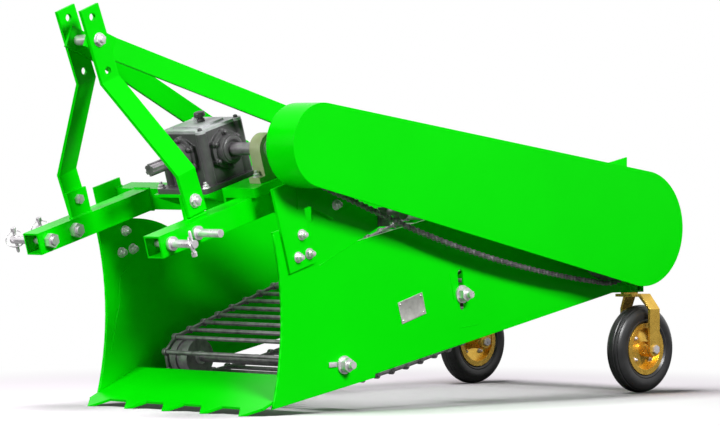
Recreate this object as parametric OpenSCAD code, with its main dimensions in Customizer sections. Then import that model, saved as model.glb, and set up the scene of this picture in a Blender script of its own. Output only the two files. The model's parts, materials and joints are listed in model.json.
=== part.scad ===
// One-row potato digger for a small tractor's three-point hitch.
// Forward is -Y, the chain side is +X, the ground is Z = 0. Sizes in millimetres.
// Places are first measured rearwards from the share's points and outwards from
// the middle plane, then moved so that the origin lies under the middle of the whole.

$fn = 64;

/* [Side plates] */
// Clear width between the side plates
body_w = 698; // [640:2:760]
// Thickness of each side plate
side_t = 6; // [4:0.5:8]
// Front corners of the side plates, behind the share's points
side_front_y = 78; // [60:1:110]
// Depth of the hollow front edge
side_bow = 34; // [10:1:50]
// Height of the front lower corner
side_foot_z = 16; // [8:1:30]
// Height of the front upper corner
side_top_z = 486; // [440:1:520]
// Place of the front peak, rearwards
side_peak_y = 193; // [170:1:230]
// Place of the front peak, upwards
side_peak_z = 515; // [490:1:540]
// Place of the notch behind the peak, rearwards
side_notch_y = 393; // [370:1:420]
// Place of the notch behind the peak, upwards
side_notch_z = 459; // [445:1:475]
// Place of the step in the lower edge, rearwards
side_step_y = 462; // [430:1:500]
// Height of the step in the lower edge
side_step_h = 10; // [4:1:20]
// Height of the lower edge just behind the step
side_step_z = 97; // [85:1:110]
// Start of the level rear end of the lower edge
side_level_y = 1424; // [1390:1:1450]
// Height of the rear upper corner
side_rear_z = 684; // [650:1:720]
// Height of the left plate's ear at its front
ear_front_z = 592; // [570:1:610]
// Bend of the left plate's ear, rearwards
ear_top_y = 333; // [310:1:350]
// Bend of the left plate's ear, upwards
ear_top_z = 582; // [565:1:595]
// Rear corner of the left plate's ear, rearwards
ear_rear_y = 510; // [480:1:530]
// Rear corner of the left plate's ear, upwards
ear_rear_z = 512; // [505:1:525]
// Gap between the ear and the cross beam
ear_gap = 3; // [1:0.5:6]

/* [Share] */
// Run of the share from points to rear edge, on the level
share_run = 224; // [190:1:260]
// Slope of the share
share_slope = 23.8; // [18:0.1:30]
// Thickness of the share
share_t = 7; // [5:0.5:12]
// Number of points
share_points = 5; // [3:1:7]
// Spacing of the points
share_pitch = 152.5; // [140:0.5:160]
// Length of the points
share_point_len = 50; // [30:1:60]
// Width of a point at its root
share_point_w = 84; // [60:1:110]

/* [Web] */
// Front turning point of the web, rearwards
web_front_y = 342; // [330:1:355]
// Front turning point of the web, upwards
web_front_z = 126; // [120:1:135]
// Radius of the web's rods round the front
web_front_r = 58; // [50:1:62]
// Radius of the web's rods round the rear shaft
web_rear_r = 66; // [60:1:72]
// Radius of the hanging lower run
web_sag_r = 2300; // [1800:50:3000]
// Number of rods
web_rods = 44; // [36:1:46]
// Thickness of a rod
web_rod_d = 12; // [10:0.5:14]
// Distance of the link rows from the side plates
web_inset = 49; // [40:1:60]
// Width of the link rows
web_link_w = 14; // [10:1:18]
// Height of a link between its eyes
web_link_h = 11; // [8:1:14]
// Radius of a link's eyes round the rods
web_eye_r = 10.5; // [9:0.5:12]

/* [Rollers and rear shaft] */
// Rear shaft, rearwards
rear_y = 1345; // [1320:1:1360]
// Rear shaft, upwards
rear_z = 470; // [455:1:485]
// Radius of the rear shaft
rear_shaft_r = 17.5; // [15:0.5:20]
// Middle support roller, rearwards
mid_y = 800; // [760:1:830]
// Radius of the middle rollers
mid_r = 34; // [28:1:40]
// Reach of the middle studs' slots above the studs
slot_up = 58; // [40:1:70]
// Reach of the middle studs' slots below the studs
slot_down = 34; // [20:1:45]
// Lean of the middle studs' slots
slot_lean = 5.8; // [0:0.1:15]
// Width of a roller
roller_w = 70; // [50:1:90]
// Radius of the roller studs
stud_r = 10; // [8:0.5:12]
// Radius of the washers on the roller studs
stud_washer_r = 25; // [20:0.5:30]
// Size of the stud nuts across corners
stud_nut_d = 40; // [34:1:44]
// Reach of the roller studs outside the side plates
stud_out = 40; // [30:1:50]
// Side of the rear bearings' pads
rear_pad = 100; // [90:1:120]
// Thickness of the rear bearings' pads
rear_pad_t = 12; // [8:0.5:16]
// Radius of the rear bearings' hubs
rear_hub_r = 40; // [34:1:44]
// Width of the rear bearings' hubs
rear_hub_w = 32; // [26:1:36]
// Gap between the rods and the rollers
web_gap = 0.4; // [0.3:0.1:1]
// Side play between the link rows and the rollers
web_play = 4; // [2:0.5:8]

/* [Hitch] */
// Nose-down tilt of the hitch while parked
hitch_pitch = 16.4; // [14:0.1:19]
// Front end of the drawbar tubes, rearwards
hitch_y = -247; // [-260:1:-230]
// Front end of the drawbar tubes, upwards
hitch_z = 451; // [440:1:462]
// Distance of the drawbar tubes from the middle plane
tube_x = 245; // [230:1:260]
// Outside width of the square tubes
tube_w = 60; // [50:1:70]
// Wall of the square tubes
tube_wall = 5; // [3:0.5:6]
// Length of the drawbar tubes
tube_len = 421; // [410:1:435]
// Front edge of the leg plates behind the tube ends
leg_u = 346; // [335:1:355]
// Thickness of the leg plates
leg_t = 8; // [6:0.5:12]
// Width of the leg plates
leg_w = 98; // [80:1:110]
// Rise of the leg plates above the tubes' middle line
leg_rise = 55; // [45:1:65]
// Reach of the leg plates below the tubes' middle line
leg_drop = 180; // [165:1:195]
// Radius of the lower hitch pins
pin_r = 11; // [11:0.5:14]
// Length of the lower hitch pins outside their collars
pin_len = 84; // [70:1:90]
// First pair of pins behind the tube ends
pin_first = 37; // [32:1:45]
// Spacing of the two pairs of pins
pin_step = 94; // [80:1:105]
// Radius of the pin collars
collar_r = 19; // [16:0.5:22]
// Width of the pin collars
collar_w = 10; // [6:0.5:14]
// Size of the pin nuts across corners
pin_nut_d = 41; // [38:1:46]
// Clearance of bolts and pins in their holes
hole_gap = 0.2; // [0.1:0.05:0.4]

/* [Mast] */
// Lean of the mast against the drawbar
mast_lean = 5; // [2:0.5:8]
// Foot bolts behind the tube ends
mast_foot_u = 175; // [165:1:185]
// Foot bolts above the tubes' middle line
mast_foot_v = 75; // [68:1:82]
// Width of the mast bars
mast_w = 65; // [55:1:75]
// Thickness of the mast bars
mast_t = 10; // [8:0.5:12]
// Distance of the mast feet from the middle plane
mast_foot_x = 240; // [230:1:250]
// Distance of the mast head's bars from the middle plane
mast_head_x = 48; // [42:1:56]
// Lower bend above the foot bolts
mast_low_bend = 80; // [65:1:95]
// Upper bend above the foot bolts
mast_high_bend = 343; // [325:1:352]
// Top of the mast above the foot bolts
mast_top = 549; // [540:1:565]
// Lower top-link hole above the foot bolts
link_hole_low = 370; // [366:1:380]
// Upper top-link hole above the foot bolts
link_hole_high = 521; // [512:1:526]
// Radius of the top-link holes
link_hole_r = 10; // [9.5:0.25:13]
// Brace bolt below the upper top-link hole
brace_drop = 64; // [50:1:80]
// Radius of the mast's bolts
mast_bolt_r = 8; // [6:0.5:10]

/* [Braces] */
// Height of a brace bar
brace_h = 60; // [50:1:65]
// Thickness of a brace bar
brace_t = 10; // [8:0.5:12]
// Straight front end of a brace
brace_front = 65; // [50:1:100]
// Straight rear end of a brace
brace_tail = 150; // [120:1:180]
// Rear bolt of a brace, rearwards
brace_end_y = 985; // [940:1:1030]
// Rear bolt of a brace, upwards
brace_end_z = 543; // [530:1:556]

/* [Gearbox and cross shaft] */
// Middle of the gearbox behind the tube ends
box_u = 459; // [450:1:470]
// Shaft height above the tubes' middle line
box_v = 134; // [128:1:142]
// Width of the gearbox body
box_w = 166; // [150:1:180]
// Length of the gearbox body
box_len = 146; // [130:1:160]
// Length of the gearbox's base
base_len = 226; // [210:1:240]
// Height of the body's top above the shafts
box_rise = 62; // [56:1:72]
// Thickness of the gearbox plate
plate_t = 8; // [6:0.5:12]
// Radius of the input shaft
input_r = 17.5; // [15:0.5:20]
// Reach of the input shaft before the gearbox's middle
input_reach = 206; // [190:1:220]
// Length of the splines
spline_len = 76; // [60:1:80]
// Radius of the cross shaft
cross_r = 17.5; // [15:0.5:20]
// Bearing on the cross shaft, from the middle plane
bearing_x = 250; // [240:1:262]
// Height of the bearing's seat above the tubes' middle line
bearing_v = 56; // [50:1:64]
// Width of the bearing
bearing_w = 42; // [34:1:50]
// Running clearance of shafts in bearings
run_gap = 0.05; // [0.03:0.01:0.1]

/* [Chain drive] */
// Distance of the chain from the left side plate
chain_off = 53; // [48:1:60]
// Width of the chain
chain_w = 18; // [14:1:22]
// Height of the chain's plates
chain_h = 15; // [12:1:18]
// Height of the chain's plates at their waists
chain_waist = 10.5; // [8:0.5:12]
// Pitch radius of the front sprocket
sprocket_front_r = 76; // [68:1:80]
// Pitch radius of the rear sprocket
sprocket_rear_r = 145; // [138:1:148]
// Thickness of the sprockets
sprocket_t = 10; // [8:0.5:11]
// Tensioner shoe, rearwards
shoe_y = 505; // [480:1:530]
// Tensioner shoe, upwards
shoe_z = 536; // [530:1:545]
// Radius of the tensioner shoe
shoe_r = 28; // [22:1:32]
// Radius of the chain's hanging lower run
chain_sag_r = 4000; // [3900:50:6000]
// Number of chain links
chain_links = 164; // [150:2:180]

/* [Chain guard] */
// Depth of the guard
guard_depth = 101; // [92:1:112]
// Thickness of the guard's back plate
guard_back_t = 4; // [3:0.5:6]
// Rear edge of the guard's back plate, behind the guard's front end
back_tail = 169; // [150:1:185]
// Bolt of the guard's back plate, rearwards
back_bolt_y = 301; // [285:1:315]
// Bolt of the guard's back plate, upwards
back_bolt_z = 559; // [550:1:568]
// Radius of the spacer under the guard's back plate
back_spacer_r = 12; // [9:0.5:15]
// Sheet thickness of the guard
guard_t = 3; // [2:0.5:4]
// Front end of the guard, rearwards
guard_front_y = 160; // [154:1:168]
// Front end of the guard, upwards
guard_front_z = 719; // [712:1:726]
// Radius of the guard's front end
guard_front_r = 113; // [108:1:118]
// Rear end of the guard, rearwards
guard_rear_y = 1436; // [1420:1:1450]
// Rear end of the guard, upwards
guard_rear_z = 480; // [472:1:488]
// Radius of the guard's rear end
guard_rear_r = 165; // [160:1:170]

/* [Castors] */
// Distance of the castors from the side plates' outer faces, inwards
castor_inset = 17; // [10:1:25]
// Castor pivots behind the share's points
castor_y = 1516; // [1510:1:1530]
// Trail of the castor wheels
castor_trail = 46; // [35:1:55]
// Diameter of the wheels
wheel_d = 255; // [245:1:262]
// Width of the tyres
tyre_w = 56; // [54:1:70]
// Radius of the tyres' shoulders
tyre_shoulder = 26; // [18:1:27]
// Radius of the rims
rim_r = 66; // [60:1:76]
// Height of the rims' flanges
rim_lip = 9; // [6:0.5:12]
// Height of the rear beam's underside
rear_beam_z = 294; // [290:1:305]
// Width of the rear beam
rear_beam_w = 60; // [50:1:70]
// Radius of the castor pins
king_r = 12.5; // [10:0.5:15]
// Radius of the castor pin bushes
bush_r = 25; // [20:1:30]
// Rise of the bushes above the rear beam
bush_rise = 14; // [8:1:30]
// Thickness of the fork bars
fork_t = 8; // [6:0.5:10]
// Width of the fork bars
fork_w = 42; // [34:1:52]
// Height of the bends in the fork bars
fork_bend_z = 244; // [235:1:252]
// Lean of the fork bars' shoulders, inwards
fork_lean = 26; // [18:1:30]
// Lean of the fork bars' shoulders, forwards
fork_fore = 13; // [6:1:20]
// Gap between tyre and fork bars
fork_gap = 22; // [14:0.5:26]
// Gap between the fork's crown and the rear beam
crown_gap = 6; // [5:0.5:10]
// Radius of the wheel axles
axle_r = 8; // [6:0.5:10]
// Rest gap between turning and fixed faces
rest_gap = 0.3; // [0.2:0.05:0.5]

/* [Hidden] */

green = [0.02, 0.62, 0.05];
charcoal = [0.2, 0.2, 0.21];
steel = [0.62, 0.62, 0.63];
dark_steel = [0.24, 0.24, 0.25];
gold = [0.72, 0.58, 0.26];
black = [0.08, 0.08, 0.09];
lid = [0.7, 0.7, 0.72];
olive = [0.52, 0.54, 0.38];

half_in = body_w / 2;
half_out = half_in + side_t;
web_link_x = half_in - web_inset;
chain_x = half_out + chain_off;
guard_back_x = half_out + leg_t + guard_back_t;
guard_out_x = guard_back_x + guard_depth;
castor_x = half_out - castor_inset;
brace_bolt_w = link_hole_high - brace_drop;
side_rear_y = castor_y - rear_beam_w / 2;
fork_in = tyre_w / 2 + fork_gap;
fork_out = fork_in + fork_t;
axle_head = 8;
wheel_r = wheel_d / 2;
wheel_y = castor_y + castor_trail;
crown_z = rear_beam_z - crown_gap;

// A point given in the tilted hitch, as [rearwards, upwards]
function hitch_pt(u, v) = [hitch_y + u * cos(hitch_pitch) - v * sin(hitch_pitch),
  hitch_z + u * sin(hitch_pitch) + v * cos(hitch_pitch)];
// A point given in the leaning mast, as [rearwards, upwards]
function mast_pt(u, w) = hitch_pt(
  mast_foot_u + u * cos(mast_lean) - w * sin(mast_lean),
  mast_foot_v + u * sin(mast_lean) + w * cos(mast_lean));

// Step between the guard's round ends and its straight runs
guard_tuck = 0.1;

x_max = guard_out_x;
x_min = -(castor_x + fork_out + axle_head);
y_min = mast_pt(-mast_w / 2, mast_top)[0];
y_max = wheel_y + wheel_r;
centre_x = (x_max + x_min) / 2;
centre_y = (y_max + y_min) / 2;

cross_at = hitch_pt(box_u, box_v);
brace_at = mast_pt(0, brace_bolt_w);
brace_x = mast_head_x - mast_t / 2 - brace_t / 2;
brace_slope = atan2(brace_at[1] - brace_end_z, brace_end_y - brace_at[0]);
brace_len = norm([brace_end_y - brace_at[0], brace_at[1] - brace_end_z]);
beam_v1 = tube_w / 2;
deck_v = beam_v1 + plate_t;

function unit(v) = v / norm(v);
function left_of(v) = [-v[1], v[0]];
// Corner of a bent strip, offset by d to the left of its middle line
function strip_pt(p, i, d) =
  i == 0 ? p[0] + d * left_of(unit(p[1] - p[0])) :
  i == len(p) - 1 ? p[i] + d * left_of(unit(p[i] - p[i - 1])) :
  let (a = left_of(unit(p[i] - p[i - 1])), b = left_of(unit(p[i + 1] - p[i])), m = unit(a + b))
  p[i] + m * d / (m * a);
// Outline of a strip of thickness t bent along the points p
function strip(p, t) = concat(
  [for (i = [0 : len(p) - 1]) strip_pt(p, i, t / 2)],
  [for (i = [len(p) - 1 : -1 : 0]) strip_pt(p, i, -t / 2)]);

// A loop laid clockwise round circles given as [middle, radius]
function clamp1(a) = min(1, max(-1, a));
function tangent(a, b) = let (d = b[0] - a[0])
  atan2(d[1], d[0]) + acos(clamp1((a[1] - b[1]) / norm(d)));
function turn(a) = a - 360 * floor(a / 360);
function dir(a) = [cos(a), sin(a)];
// Columns: length, start point and direction, or length, middle, radius and first angle
function loop(c) = let (n = len(c)) [for (i = [0 : n - 1])
  let (a = c[i], b = c[(i + 1) % n], e = c[(i + 2) % n], t = tangent(a, b), t2 = tangent(b, e),
    p = a[0] + a[1] * dir(t), q = b[0] + b[1] * dir(t), sweep = turn(t - t2))
  each [[norm(q - p), p, dir(t - 90)], [b[1] * sweep * PI / 180, b[0], b[1], t]]];
function loop_len(s, i = 0) = i == len(s) ? 0 : s[i][0] + loop_len(s, i + 1);
function loop_pt(s, d, i = 0) =
  i < len(s) - 1 && d > s[i][0] ? loop_pt(s, d - s[i][0], i + 1) :
  len(s[i]) == 3 ? s[i][1] + d * s[i][2] :
  s[i][1] + s[i][2] * dir(s[i][3] - d / s[i][2] * 180 / PI);
function loop_pts(s, n) = let (l = loop_len(s)) [for (i = [0 : n - 1]) loop_pt(s, l * i / n)];
// Middle of a circle of radius r that hangs under two circles given as [middle, radius]
function hang(a, b, r) = let (d = b[0] - a[0], l = norm(d), p = r - a[1], q = r - b[1],
    k = (p * p - q * q + l * l) / (2 * l))
  a[0] + k * unit(d) + sqrt(p * p - k * k) * left_of(unit(d));
function ring_pt(p, i, d) = let (n = len(p), a = p[(i + n - 1) % n], b = p[(i + 1) % n])
  p[i] + d * left_of(unit(b - a));

web_front = [web_front_y, web_front_z];
web_rear = [rear_y, rear_z];
web_sag_c = hang([web_front, web_front_r], [web_rear, web_rear_r], web_sag_r);
web_loop = loop([[web_front, web_front_r], [web_rear, web_rear_r], [web_sag_c, web_sag_r]]);
web_pts = loop_pts(web_loop, web_rods);
web_top_dir = tangent([web_front, web_front_r], [web_rear, web_rear_r]);
mid_t = (mid_y - web_front_y - web_front_r * cos(web_top_dir)) / sin(web_top_dir);
mid_z = web_front_z + web_front_r * sin(web_top_dir) - mid_t * cos(web_top_dir)
  - (mid_r + web_rod_d / 2 + web_gap) / sin(web_top_dir);

shoe_at = [shoe_y, shoe_z];
chain_sag_c = hang([shoe_at, shoe_r], [web_rear, sprocket_rear_r], chain_sag_r);
chain_loop = loop([[cross_at, sprocket_front_r], [web_rear, sprocket_rear_r],
  [chain_sag_c, chain_sag_r], [shoe_at, shoe_r]]);
chain_pts = loop_pts(chain_loop, 2 * chain_links);
chain_step = loop_len(chain_loop) / (2 * chain_links);
// Height lost under a straight half link laid round a circle
function link_sag(r) = r - sqrt(r * r - chain_step * chain_step / 4);

module placed() translate([-centre_x, -centre_y, 0]) children();
module hitch() translate([0, hitch_y, hitch_z]) rotate([hitch_pitch, 0, 0]) children();
// The mast's own frame, with the foot bolts at its origin
module mast() hitch() translate([0, mast_foot_u, mast_foot_v]) rotate([mast_lean, 0, 0]) children();
// Upright sheet: outline given as [rearwards, upwards], from x outwards by t
module sheet(x, t) translate([x, 0, 0]) rotate([90, 0, 90]) linear_extrude(t) children();
module rod_x(x, len, r) translate([x, 0, 0]) rotate([0, 90, 0]) cylinder(h = len, r = r);
module nut_x(x, len, d) translate([x, 0, 0]) rotate([0, 90, 0]) cylinder(h = len, d = d, $fn = 6);
module tube_x_dir(len, w, wall) difference() {
  cube([len, w, w], center = true);
  cube([len + 2, w - 2 * wall, w - 2 * wall], center = true);
}
// Closed band along the points p, its half height h at even points and waist at odd ones
module ring_band(p, h, waist) polygon(
  points = concat([for (i = [0 : len(p) - 1]) ring_pt(p, i, i % 2 == 0 ? h : waist)],
    [for (i = [0 : len(p) - 1]) ring_pt(p, i, i % 2 == 0 ? -h : -waist)]),
  paths = [[for (i = [0 : len(p) - 1]) i], [for (i = [0 : len(p) - 1]) len(p) + i]]);

module side_outline() {
  chord = side_top_z - side_foot_z;
  bow_r = (chord * chord / 4 + side_bow * side_bow) / (2 * side_bow);
  over = 20;
  foot_rise = (side_step_z - side_step_h - side_foot_z) / (side_step_y - side_front_y);
  top_rise = (side_peak_z - side_top_z) / (side_peak_y - side_front_y);
  steps = 10;
  crest = [for (i = [steps : -1 : 0]) [side_peak_y + (side_notch_y - side_peak_y) * i / steps,
    side_peak_z - (side_peak_z - side_notch_z) * pow(i / steps, 2.5)]];
  difference() {
    polygon(concat([[side_front_y - over, side_foot_z - over * foot_rise],
      [side_step_y, side_step_z - side_step_h], [side_step_y, side_step_z],
      [side_level_y, rear_beam_z], [side_rear_y, rear_beam_z], [side_rear_y, side_rear_z]],
      crest, [[side_front_y - over, side_top_z - over * top_rise]]));
    translate([side_front_y + side_bow - bow_r, (side_top_z + side_foot_z) / 2])
      circle(r = bow_r, $fn = 200);
  }
}
// Slot in which a middle roller's stud is set up or down
module stud_slot() translate([mid_y, mid_z]) rotate(slot_lean) {
  w = stud_r + hole_gap;
  translate([0, slot_up]) circle(r = w);
  translate([0, -slot_down]) circle(r = w);
  translate([-w, -slot_down]) square([2 * w, slot_up + slot_down]);
}
// Raised part of the left plate that carries the guard and the tensioner
module ear_outline() {
  front = hitch_pt(tube_len + tube_w, -tube_w / 2)[0] + ear_gap;
  polygon([[side_notch_y, side_notch_z], [ear_rear_y, ear_rear_z], [ear_top_y, ear_top_z],
    [front, ear_front_z], [front, side_notch_z], [(front + side_notch_y) / 2, side_notch_z - 10]]);
}
module side_plate() sheet(half_in, side_t) difference() {
  union() {
    side_outline();
    children();
  }
  translate(web_front) circle(r = stud_r + hole_gap);
  stud_slot();
  translate(web_rear) circle(r = rear_shaft_r + 4 + hole_gap);
}
module side_plate_left() color(green) placed() side_plate() ear_outline();
module side_plate_right() color(green) placed() mirror([1, 0, 0]) side_plate();

module share_plan() {
  root = share_point_len;
  tail = share_run / cos(share_slope);
  first = -(share_points - 1) / 2 * share_pitch;
  polygon([[-half_in, root], [half_in, root], [half_in, tail], [-half_in, tail]]);
  for (i = [0 : share_points - 1]) translate([first + i * share_pitch, 0])
    polygon([[0, 0], [share_point_w / 2, root + 1], [-share_point_w / 2, root + 1]]);
}
module share() color(green) placed() difference() {
  rotate([share_slope, 0, 0]) translate([0, 0, -share_t]) linear_extrude(share_t) share_plan();
  translate([-half_out, -50, -100]) cube([2 * half_out, 200, 100]);
}

module web() color(dark_steel) placed() {
  for (s = [-1, 1]) sheet(s * web_link_x - web_link_w / 2, web_link_w) {
    ring_band(web_pts, web_link_h / 2, web_link_h / 2);
    for (p = web_pts) translate(p) circle(r = web_eye_r, $fn = 10);
  }
  for (p = web_pts) translate([0, p[0], p[1]]) rod_x(-web_link_x, 2 * web_link_x, web_rod_d / 2, $fn = 12);
}

drum_out = web_link_x - web_link_w / 2 - web_play;
drum_in = drum_out - roller_w;
stud_head = 8;
module roller(y, z, r) for (s = [-1, 1]) mirror([s < 0 ? 1 : 0, 0, 0]) translate([0, y, z]) difference() {
  groove = 5;
  union() {
    rod_x(drum_in, roller_w, r - groove);
    for (x = [drum_in, drum_out - roller_w / 3]) rod_x(x, roller_w / 3, r);
  }
  rod_x(drum_in - 1, roller_w + 2, stud_r + run_gap);
}
module front_rollers() color(dark_steel) placed() {
  tie = drum_in - stud_head;
  roller(web_front_y, web_front_z, web_front_r - web_rod_d / 2 - web_gap);
  translate([0, web_front_y, web_front_z]) rod_x(-tie, 2 * tie, stud_r + 2);
}
module mid_rollers() color(dark_steel) placed() roller(mid_y, mid_z, mid_r);
module roller_bolts() color(steel) placed() for (at = [web_front, [mid_y, mid_z]], s = [-1, 1])
  mirror([s < 0 ? 1 : 0, 0, 0]) translate([0, at[0], at[1]]) {
    washer_t = 5;
    collar = stud_r + 8;
    rod_x(drum_in - stud_head, half_out + stud_out - drum_in + stud_head, stud_r);
    rod_x(drum_in - stud_head, stud_head, collar);
    rod_x(drum_out, half_in - drum_out, collar);
    rod_x(half_out, washer_t, stud_washer_r);
    nut_x(half_out, washer_t + 18, stud_nut_d);
  }

module rear_shaft() color(dark_steel) placed() translate([0, rear_y, rear_z]) {
  rod_x(-half_out - 40, half_out + 40 + chain_x + sprocket_t / 2 + 20, rear_shaft_r);
  for (s = [-1, 1]) mirror([s < 0 ? 1 : 0, 0, 0])
    rod_x(drum_in, roller_w, web_rear_r - web_rod_d / 2 - web_gap);
}
module rear_bearing() translate([0, rear_y, rear_z]) difference() {
  union() {
    translate([half_out + rear_pad_t / 2, 0, 0]) cube([rear_pad_t, rear_pad, rear_pad], center = true);
    rod_x(half_out, rear_hub_w, rear_hub_r);
  }
  rod_x(half_out - 1, rear_hub_w + 2, rear_shaft_r + run_gap);
}
module rear_bearings() color(charcoal) placed() {
  rear_bearing();
  mirror([1, 0, 0]) rear_bearing();
}

module rear_beam() color(green) placed() {
  len = 2 * (guard_back_x - 1);
  difference() {
    union() {
      translate([0, castor_y, rear_beam_z + rear_beam_w / 2]) tube_x_dir(len, rear_beam_w, tube_wall);
      for (s = [-1, 1]) translate([s * castor_x, castor_y, rear_beam_z])
        cylinder(h = rear_beam_w + bush_rise, r = bush_r);
    }
    for (s = [-1, 1]) translate([s * castor_x, castor_y, rear_beam_z - 1])
      cylinder(h = rear_beam_w + bush_rise + 2, r = king_r + run_gap);
  }
}

module drawbar() hitch() {
  difference() {
    translate([tube_x, tube_len / 2, 0]) rotate([0, 0, 90]) tube_x_dir(tube_len, tube_w, tube_wall);
    for (i = [0, 1]) translate([0, pin_first + i * pin_step, 0])
      rod_x(tube_x - tube_w, 2 * tube_w, pin_r + hole_gap);
  }
  difference() {
    translate([mast_foot_x - mast_t / 2 - mast_t, mast_foot_u - 35, tube_w / 2])
      cube([mast_t, 70, mast_foot_v + 26 - tube_w / 2]);
    translate([0, mast_foot_u, mast_foot_v])
      rod_x(mast_foot_x - 3 * mast_t, 4 * mast_t, mast_bolt_r + hole_gap);
  }
}
module drawbar_left() color(green) placed() drawbar();
module drawbar_right() color(green) placed() mirror([1, 0, 0]) drawbar();

module hitch_pins() hitch() for (i = [0, 1])
  translate([tube_x, pin_first + i * pin_step, 0]) {
    rod_x(-tube_w / 2 - 24, tube_w + 24 + collar_w + pin_len, pin_r);
    rod_x(tube_w / 2, collar_w, collar_r);
    translate([-tube_w / 2 - 18, 0, 0]) rotate([0, 90, 0]) cylinder(h = 18, d = pin_nut_d, $fn = 6);
  }
module hitch_pins_left() color(steel) placed() hitch_pins();
module hitch_pins_right() color(steel) placed() mirror([1, 0, 0]) hitch_pins();

module cross_beam() color(green) placed() hitch()
  translate([0, tube_len + tube_w / 2, 0]) tube_x_dir(2 * half_out, tube_w, tube_wall);
module leg_plate() hitch() translate([half_out, leg_u, -leg_drop]) cube([leg_t, leg_w, leg_drop + leg_rise]);
module leg_plates() color(green) placed() {
  leg_plate();
  mirror([1, 0, 0]) leg_plate();
}

// Plate with gussets under the gearbox
module gearbox_deck() {
  w = box_w / 2 + 24;
  len = base_len + 12;
  front = box_u - len / 2;
  translate([-w, front, beam_v1]) cube([2 * w, len, plate_t]);
  for (x = [-w, w - plate_t], side = [[tube_len, front + 4], [tube_len + tube_w, front + len - 4]])
    sheet(x, plate_t) polygon([[side[0], -beam_v1 / 2], [side[0], beam_v1 + 1], [side[1], beam_v1 + 1]]);
}
// Stand on the beam and the left tube under the bearing
module bearing_stand() {
  inner = bearing_x - 2 * bearing_w;
  outer = bearing_x + bearing_w;
  low = bearing_v - plate_t;
  rear = tube_len + tube_w;
  translate([inner, leg_u, low]) cube([outer - inner, rear - leg_u, plate_t]);
  translate([inner, leg_u, beam_v1]) cube([outer - inner, plate_t, bearing_v - beam_v1]);
  translate([outer - plate_t, leg_u, beam_v1]) cube([plate_t, rear - leg_u, bearing_v - beam_v1]);
  sheet(inner, plate_t) polygon([[leg_u, beam_v1 / 2], [leg_u, low + 1], [rear, low + 1],
    [rear, beam_v1], [tube_len, beam_v1], [tube_len, -beam_v1 / 2]]);
}
module gearbox_plate() color(green) placed() hitch() {
  gearbox_deck();
  bearing_stand();
}

module round_box(w, l, h, r) linear_extrude(h) union() {
  square([w - 2 * r, l], center = true);
  square([w, l - 2 * r], center = true);
  for (x = [-1, 1], y = [-1, 1]) translate([x * (w / 2 - r), y * (l / 2 - r)]) circle(r = r);
}
flange_r = 52;
hub_r = 40;
lug_r = 15;
box_corners = [for (x = [-1, 1], y = [-1, 1]) [x * (box_w / 2 - 5), y * (box_len / 2 - 5), 0]];
module gearbox() color(charcoal) placed() hitch() translate([0, box_u, box_v]) {
  drop = box_v - deck_v;
  foot_t = 14;
  translate([0, 0, -drop]) round_box(box_w + 36, base_len, foot_t, 12);
  translate([0, 0, -drop]) round_box(box_w, box_len, drop + box_rise, 16);
  for (p = box_corners) translate([p[0], p[1], -drop]) cylinder(h = drop + box_rise, r = lug_r);
  rod_x(-box_w / 2 - 12, box_w + 24, flange_r);
  rod_x(0, box_w / 2 + 34, hub_r);
  rotate([90, 0, 0]) cylinder(h = box_len / 2 + 12, r = flange_r);
  rotate([90, 0, 0]) cylinder(h = box_len / 2 + 36, r = hub_r);
  for (a = [30 : 60 : 359]) {
    rotate([a, 0, 0]) translate([0, flange_r - 4, 0]) rod_x(box_w / 2 - 6, 22, 9);
    rotate([0, a, 0]) translate([flange_r - 4, 0, 0]) rotate([90, 0, 0]) translate([0, 0, box_len / 2 - 6])
      cylinder(h = 22, r = 9);
  }
  for (s = [-1, 1]) sheet(-6, 12) polygon([[s * (base_len / 2 - 8), foot_t - drop - 1],
    [s * (box_len / 2 - 2), foot_t - drop - 1], [s * (box_len / 2 - 2), -hub_r]]);
}
module gearbox_cover() color(lid) placed() hitch() translate([0, box_u, box_v + box_rise]) {
  round_box(box_w - 4, box_len - 4, 8, 14);
  for (p = box_corners) translate(p) cylinder(h = 8, r = lug_r - 1);
  round_box(box_w - 50, box_len - 50, 14, 10);
  translate([0, 0, 14]) cylinder(h = 12, r = 11, $fn = 6);
}
module input_shaft() color(dark_steel) placed() hitch() translate([0, box_u, box_v]) rotate([90, 0, 0]) {
  start = box_len / 2 + 36;
  translate([0, 0, start]) cylinder(h = input_reach - start - spline_len, r = input_r + 3);
  difference() {
    translate([0, 0, start]) cylinder(h = input_reach - start, r = input_r);
    for (a = [0 : 60 : 359]) rotate([0, 0, a]) translate([input_r + 1, 0, input_reach - spline_len / 2 + 1])
      cube([9, 8.6, spline_len + 2], center = true);
  }
}
module cross_shaft() color(dark_steel) placed() translate([0, cross_at[0], cross_at[1]])
  rod_x(box_w / 2 + 34, chain_x + sprocket_t / 2 + 18 - box_w / 2 - 34, cross_r);
module cross_bearing() color(olive) placed() hitch() translate([bearing_x, box_u, box_v]) difference() {
  drop = box_v - bearing_v;
  union() {
    translate([-bearing_w / 2, -66, -drop]) cube([bearing_w, 132, 16]);
    rod_x(-bearing_w / 2, bearing_w, 44);
    translate([-bearing_w / 2, -44, -drop]) cube([bearing_w, 88, drop]);
  }
  rod_x(-bearing_w, 2 * bearing_w, cross_r + run_gap);
}

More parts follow.
